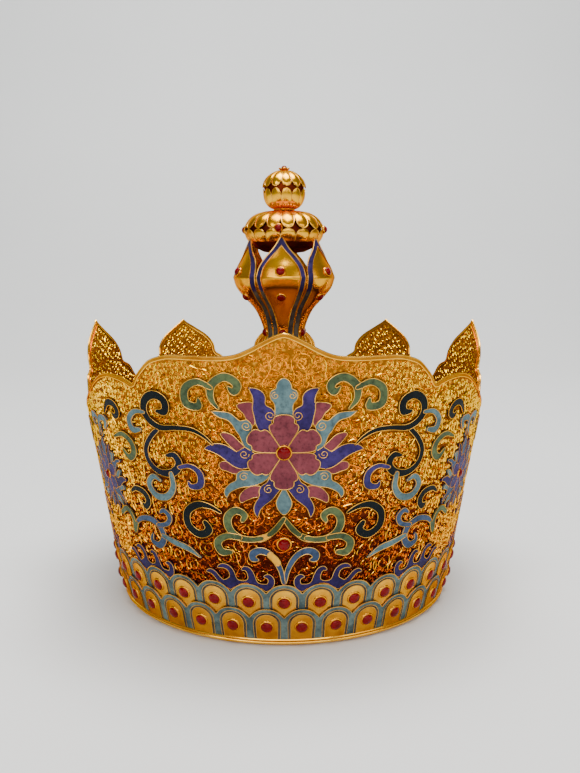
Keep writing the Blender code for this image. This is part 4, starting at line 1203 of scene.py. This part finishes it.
SCALES = 36
SCALE_ROUNDNESS = 2.4
SCALE_THICKNESS = 0.55
SCALE_WIRES = 1.2
PLATE_BORDER = 3.0
PLATE_RISE = 0.92
PLATE_CORNER = 0.96
BAND = 1.15
BAND_SIDES = 1.3


def stack(piece, ring, centre, layers, kind):
    """A closed cushion on the wall: the ring shrinks towards its centre from layer to layer."""
    n = len(ring)
    inward = ring - centre
    points = [np.column_stack((centre + inward * share, np.full(n, level))) for share, level in layers]
    points = np.concatenate([*points, [(*centre, layers[-1][1] + 0.02)]])
    *sides, foot, _ = tube_faces(len(layers), n, False)
    last = (len(layers) - 1) * n
    fan = [(last + i, last + (i + 1) % n, last + n) for i in range(n)]
    piece.add(on_wall(points), [foot, *sides, *fan], kind)


def scale_row(name, node, top, valley, foot, plate_foot, stone_height, plate_half, lift, first_angle, gilt):
    """A row of scales: its strip, wires, raised plates and stones; heights and sizes in millimetres."""
    piece = Piece(name, "scale")
    half = to_u(360 / SCALES / 2)
    middles = [to_u(first_angle) + half * (2 * number + 1) for number in range(SCALES)]

    def arch(shares):
        return valley + (top - valley) * (1 - np.abs(shares) ** SCALE_ROUNDNESS)

    shares = np.linspace(-1, 1, 17)[:-1]
    us = np.concatenate([to_u(first_angle) + half * (2 * i + 1 + shares) for i in range(SCALES)])
    crests = np.tile(arch(shares), SCALES)
    feet = np.full(len(us), foot)
    low, high = lift, lift + SCALE_THICKNESS
    corners = ((feet, low), (feet, high), (crests, high), (crests, low))
    points = np.stack([np.column_stack((us, v, np.full(len(us), w))) for v, w in corners], axis=1)
    strip = [face[::-1] for face in tube_faces(len(us), 4, True)]
    piece.add(on_wall(points), strip, "border")
    span = np.linspace(-1, 1, 21)
    turn = np.linspace(0, math.pi, 15)
    for middle in middles:
        crest = np.column_stack((middle + span * (half - 0.15), arch(span)))
        flat_tube(piece, crest, high + 0.05, round_section(0.24, 4), "wire")
        rings = []
        for spare in (BAND, 0.0):
            wide = plate_half + spare * BAND_SIDES
            corner = wide * PLATE_CORNER
            vs = top - PLATE_BORDER + spare - wide * PLATE_RISE * (1 - np.sin(turn))
            rings.append(np.array([
                (middle + corner, plate_foot), *np.column_stack((middle + wide * np.cos(turn), vs)),
                (middle - corner, plate_foot), (middle, plate_foot),
            ]))
        centre = np.array((middle, stone_height))
        band, plate = rings
        stack(piece, band, centre, ((1.0, high - 0.1), (1.0, high + 0.06)), "band")
        cushion = ((1.0, high - 0.05), (1.0, high + 0.16), (0.88, high + 0.4), (0.5, high + 0.58))
        stack(piece, plate, centre, cushion, gilt)
        for ring, level, radius in ((band, 0.08, 0.17), (plate, 0.18, 0.2)):
            ring = resampled(ring[:-1], SCALE_WIRES)
            flat_tube(piece, ring, high + level, round_section(radius, 4), "wire")
        set_stone(piece, wall_place(middle, stone_height, high + 0.4), radius=2.95, height=2.0, sides=16)
    piece.finish(node)


scale_row(
    "upper_scale_row", "upper_scales", top=33.4, valley=28.5, foot=12.0, plate_foot=12.0, stone_height=23.8,
    plate_half=5.9, lift=0.5, first_angle=-185.0, gilt="scale",
)
# The lower row takes the darker gilt, as painted shade
scale_row(
    "lower_scale_row", "lower_scales", top=20.0, valley=15.2, foot=1.9, plate_foot=2.6, stone_height=10.3,
    plate_half=5.8, lift=1.6, first_angle=-180.0, gilt="shaded_low_scale",
)

FOOT_SIDES = 144
BEAD = 0.62
piece = Piece("foot_ring", "gold")
turned(piece, (
    (94.7, 1.7), (95.2, 1.4), (95.4, 0.9), (95.3, 0.3), (94.9, 0.0), (89.9, 0.0), (89.6, 0.3), (89.6, 1.4),
    (89.9, 1.7), (94.7, 1.7),
), "rim", FOOT_SIDES)
turn = np.linspace(math.pi / 2, -1.5 * math.pi, 9)
turned(piece, [(95.0 + BEAD * math.cos(t), 2.5 + BEAD * math.sin(t)) for t in turn], "rim", FOOT_SIDES)
piece.finish("foot_rim")


# The finial

# The prongs' shape from the top down, as (radius, height, half-width in degrees), above and below the bulge
PRONG_ABOVE = (
    (20.9, 200.2, 1.5), (22.6, 194.5, 10.5), (25.0, 188.6, 22.0), (27.8, 183.6, 27.5), (30.0, 178.2, 28.6),
)
PRONG_BELOW = (
    (30.0, 178.2, 28.8), (28.0, 172.6, 28.2), (23.4, 167.0, 28.4), (17.6, 161.0, 29.2), (13.8, 154.0, 29.2),
    (11.9, 147.0, 29.2), (13.3, 139.5, 29.2), (16.6, 130.4, 29.2),
)
PRONG_ROWS = np.concatenate((spline(PRONG_ABOVE, 1.4)[:-1], spline(PRONG_BELOW, 1.4)))
PRONGS = 6
FIRST_PRONG = -4
PRONG_BORDER = 3.2
# The enamel of the border is indigo above this height and brown below it
PRONG_SPLIT = 170.0
# A prong is rounder than a flat strip and flatter than the circle round the axis: both shares of its radius
PRONG_FLAT = 0.55
PRONG_ROUND = 0.45
# The stones of a prong: (height, radius)
PRONG_STONES = ((181.5, 2.4), (167.6, 2.3), (147.0, 2.1))


def prong_point(row, share, turn, lift=0.0):
    """A place on a prong: share runs from -1 to 1 across it, turn is its middle in radians."""
    radius, height, half = row
    across = math.radians(half) * share
    reach = radius * (PRONG_FLAT + PRONG_ROUND * math.cos(across)) + lift
    return (reach * math.sin(turn + across), -reach * math.cos(turn + across), height)


def add_prongs():
    piece = Piece("finial_prongs", "gold")
    halves = [radius * math.sin(math.radians(half)) for radius, _, half in PRONG_ROWS]
    inner = [max(0.0, 1 - PRONG_BORDER / max(half, 0.1)) for half in halves]
    above = np.count_nonzero(PRONG_ROWS[:, 1] > PRONG_SPLIT)
    for number in range(PRONGS):
        turn = math.radians(FIRST_PRONG + 360 // PRONGS * number)
        spread = np.linspace(-1, 1, 11)
        grid = [[prong_point(row, share, turn) for share in spread] for row in PRONG_ROWS]
        thick_grid(piece, grid, 0.9, "petal")
        for side in (-1, 1):
            shares = np.linspace(0, 1, 4)
            band = [
                [prong_point(row, side * (a + (1 - a) * s * 0.97), turn, 0.22) for s in shares]
                for row, a in zip(PRONG_ROWS, inner)
            ]
            thick_grid(piece, band[:above], 0.35, "indigo", flip=side < 0)
            thick_grid(piece, band[above - 1:], 0.35, "band", flip=side < 0)
            outer_line = [prong_point(row, side, turn, 0.1) for row in PRONG_ROWS]
            space_tube(piece, resampled(outer_line, 1.2), 0.36, 8, "wire")
            inner_line = [prong_point(row, side * a, turn, 0.3) for row, a in zip(PRONG_ROWS, inner) if a > 0]
            space_tube(piece, resampled(inner_line, 1.2), 0.24, 6, "wire")
        for height, radius in PRONG_STONES:
            rows = PRONG_ROWS[::-1]
            row, over, under = (
                [np.interp(level, rows[:, 1], rows[:, k]) for k in range(3)]
                for level in (height, height + 1, height - 1)
            )
            out = outward(turn, math.atan2(under[0] - over[0], 2.0))
            place = standing(prong_point(row, 0.0, turn, lift=0.1), out)
            set_stone(piece, place, radius, height=2.0, sides=18)
    piece.finish(*(f"prong_{number}" for number in range(1, PRONGS + 1)))


add_prongs()


def petal_ring(piece, profile, count, puff, phase=0.12, rounding=0.4, wire=0.28):
    """Puffed petals side by side on a turned surface; the profile runs from root to tip."""
    line = spline(profile, 0.6)
    share = np.linspace(0, 1, 15)
    index = share * (len(line) - 1)
    track = np.column_stack([np.interp(index, np.arange(len(line)), line[:, k]) for k in range(2)])
    normal = np.gradient(track, axis=0)
    normal = np.column_stack((-normal[:, 1], normal[:, 0]))
    normal /= np.linalg.norm(normal, axis=1, keepdims=True)
    if normal[len(normal) // 2, 0] < 0:
        normal = -normal
    half_angle = math.pi / count * 0.98
    flip = track[-1, 1] > track[0, 1]
    for number in range(count):
        middle = phase + 2 * math.pi * number / count
        grid = []
        for t, point, out in zip(share, track, normal):
            end = max(0.0, (t - (1 - rounding)) / rounding)
            narrow = max(math.sqrt(max(0.0, 1 - end**2)), 0.02)
            row = []
            for s in np.linspace(-1, 1, 9):
                swell = puff * (1 - s * s) * (0.35 + 0.65 * math.sin(math.pi * min(1.0, t * 0.9 + 0.1)))
                radius, height = point + out * swell
                angle = middle + s * half_angle * narrow
                row.append((radius * math.sin(angle), -radius * math.cos(angle), height))
            grid.append(row)
        thick_grid(piece, grid, 0.6, "petal", flip)
        path = [row[0] for row in grid] + [row[-1] for row in reversed(grid)]
        space_tube(piece, resampled(path, 0.8), wire, 6, "wire")


piece = Piece("lotus_disc", "gold")
# The maroon core is painted shade in the gaps between the petals
turned(piece, (
    (0, 214.2), (8.0, 214.2), (14.6, 212.6), (18.4, 209.9), (21.0, 206.4), (21.3, 205.2), (21.0, 202.4),
    (19.6, 198.6), (16.8, 195.2), (11.6, 192.7), (6.0, 192.0), (0, 192.0),
), "maroon")
upper = ((5.2, 215.2), (9.0, 215.0), (15.0, 213.6), (19.6, 210.8), (22.2, 207.0), (22.5, 205.2))
petal_ring(piece, upper, count=16, puff=0.8, phase=0.1, rounding=0.42)
lower = ((19.8, 198.2), (21.2, 200.4), (22.2, 202.8), (22.5, 204.9))
petal_ring(piece, lower, count=16, puff=0.5, phase=0.1, rounding=0.6)
piece.finish("lotus_core", "lotus_upper", "lotus_lower")

piece = Piece("petal_ball", "gold")
# The maroon core is painted shade in the gaps between the petals
turned(piece, (
    (0, 237.4), (5.0, 236.6), (9.0, 233.6), (11.1, 230.4), (11.3, 228.0), (10.8, 223.6), (8.8, 219.9),
    (5.2, 217.6), (4.4, 216.4), (5.2, 215.0), (0, 214.6),
), "maroon", 40)
upper = ((1.0, 238.0), (5.0, 237.3), (9.5, 234.4), (11.8, 231.0), (12.3, 228.6))
petal_ring(piece, upper, count=12, puff=0.5, wire=0.24)
lower = ((5.4, 216.6), (7.9, 217.7), (10.0, 219.8), (11.5, 223.4), (12.0, 227.9))
petal_ring(piece, lower, count=12, puff=0.4, wire=0.15)
turn = np.linspace(0, 2 * math.pi, 40, endpoint=False)
space_tube(piece, [(5.6 * math.sin(t), -5.6 * math.cos(t), 216.6) for t in turn], 0.6, 8, "petal", True)
piece.finish("ball_core", "ball_upper", "ball_lower")

piece = Piece("bud", "gold")
turned(piece, ((0, 241.0), (1.0, 240.8), (1.6, 240.1), (1.7, 239.4), (0, 239.2)), "ruby", 20)
bracts = ((0.9, 238.4), (2.4, 238.7), (3.3, 239.5))
petal_ring(piece, bracts, count=6, puff=0.2, phase=0.0, rounding=0.6, wire=0.2)
turned(piece, ((0, 239.5), (1.9, 239.5), (2.1, 239.1), (1.6, 238.2), (0, 238.2)), "petal", 20)
piece.finish("top_bud")

# Where the disc is widest: its four stones stand there
LOTUS_RADIUS = 22.7
LOTUS_WAIST = 205.2
piece = Piece("lotus_stones", "ruby")
for angle in (-8, 82, 172, 262):
    out = outward(math.radians(angle))
    place = standing(out * LOTUS_RADIUS + Vector((0, 0, LOTUS_WAIST)), out)
    set_stone(piece, place, radius=2.0, height=2.1)
piece.finish(*(f"lotus_stone_{number}" for number in range(1, 5)))


# The plain dome that carries the finial, rounded, with its underside, and the post on it

DOME = (
    (18.0, 130.0), (36.0, 125.0), (52.0, 116.0), (66.0, 102.0), (76.0, 86.0), (84.5, 64.0), (90.0, 42.0),
    (91.7, 14.0), (90.9, 1.9),
)
DOME_THICKNESS = 1.2
outer = spline(DOME, 5.0)
under = outer[::-1] - (DOME_THICKNESS, 0.0)
under[:, 1] = np.maximum(under[:, 1] - DOME_THICKNESS, WALL_FOOT)
piece = Piece("dome", "gold_inner")
turned(piece, [(0, DOME[0][1]), *outer, *under, (0, DOME[0][1] - DOME_THICKNESS)], "lining")
piece.finish("inner_dome", angle=30.0)

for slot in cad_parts["finial_post"].material_slots:
    slot.material = MATERIALS["lining"]


# The studio: one pale sheet that is floor and backdrop, soft lights, and the camera of the photograph

# The sheet from the front to the back, as (place, height) in metres, and half of its width
BACKDROP = (
    (-2.6, 0.0), (-0.4, 0.0), (0.6, 0.0), (1.1, 0.05), (1.5, 0.25), (1.75, 0.6), (1.85, 1.1), (1.9, 3.2),
)
BACKDROP_HALF = 4.0
# The height over which the paper lightens from its painted shade on the floor, in metres
PAPER_SHADE_HEIGHT = 0.5
# The lights: name, place, target, size, power, colour
LIGHTS = (
    ("top", (0.1, -0.1, 1.5), (0, 0, 0.1), (0.9, 0.9), 29.0, (1.0, 0.97, 0.93)),
    ("key", (-0.9, -1.1, 1.0), (0, 0, 0.12), (0.7, 0.7), 6.5, (1.0, 0.96, 0.90)),
    ("fill", (1.1, -0.9, 0.7), (0, 0, 0.1), (0.8, 0.8), 4.0, (1.0, 0.97, 0.93)),
    ("front", (0.0, -1.9, 0.8), (0, 0, 0.1), (2.2, 0.9), 19.5, (1.0, 0.97, 0.92)),
    ("backdrop_wash", (0.0, 0.4, 2.2), (0, 1.6, 0.2), (2.0, 1.0), 44.0, WHITE),
)
SKY = (0.90, 0.92, 0.93, 1.0)
SKY_STRENGTH = 0.27
# The fitted camera: place in metres, how far it looks down and to the side in degrees, lens in millimetres
CAMERA_PLACE = (0.00084, -0.45719, 0.18198)
CAMERA_DOWN = 8.411
CAMERA_TURN = -0.309
CAMERA_LENS = 36.44
CAMERA_SENSOR = 36.0
CAMERA_NEAREST = 0.01


def add_backdrop():
    profile = spline(BACKDROP, 0.12)
    points = [(side, y, z) for y, z in profile for side in (-BACKDROP_HALF, BACKDROP_HALF)]
    faces = [(2 * i, 2 * i + 1, 2 * i + 3, 2 * i + 2) for i in range(len(profile) - 1)]
    mesh = bpy.data.meshes.new("backdrop")
    mesh.from_pydata(points, [], faces)
    mesh.shade_smooth()
    nodes = Nodes("backdrop_paper")
    cloud = nodes.noise(3.0)
    # Painted shade: the paper is darker on the floor than higher up, to even out the top light's pool and to
    # dim what the floor throws onto the crown
    level = nodes.height(PAPER_SHADE_HEIGHT)
    tone = nodes.ramp(level, (0.0, (0.70, 0.71, 0.71)), (1.0, (0.80, 0.815, 0.815)))
    mottle = nodes.ramp(cloud, (0.3, (0.98, 0.98, 0.98)), (0.7, WHITE))
    nodes.shade(Base_Color=nodes.mix(1.0, tone, mottle), Roughness=0.9, Specular_IOR_Level=0.1)
    mesh.materials.append(nodes.material)
    made = add_object("backdrop", mesh)


add_backdrop()
for name, place, target, size, power, colour in LIGHTS:
    data = bpy.data.lights.new(name, "AREA")
    data.shape = "RECTANGLE"
    data.size, data.size_y = size
    data.energy = power
    data.color = colour
    light = add_object(name, data)
    light.location = place
    light.rotation_euler = (Vector(target) - Vector(place)).to_track_quat("-Z", "Y").to_euler()

world = bpy.data.worlds.new("studio")
world.use_nodes = True
sky = world.node_tree.nodes["Background"].inputs
sky["Color"].default_value = SKY
sky["Strength"].default_value = SKY_STRENGTH
bpy.context.scene.world = world

data = bpy.data.cameras.new("camera")
data.lens = CAMERA_LENS
data.sensor_width = CAMERA_SENSOR
data.clip_start = CAMERA_NEAREST
camera = add_object("camera", data)
camera.location = CAMERA_PLACE
camera.rotation_euler = (math.radians(90 - CAMERA_DOWN), 0.0, math.radians(CAMERA_TURN))
bpy.context.scene.camera = camera
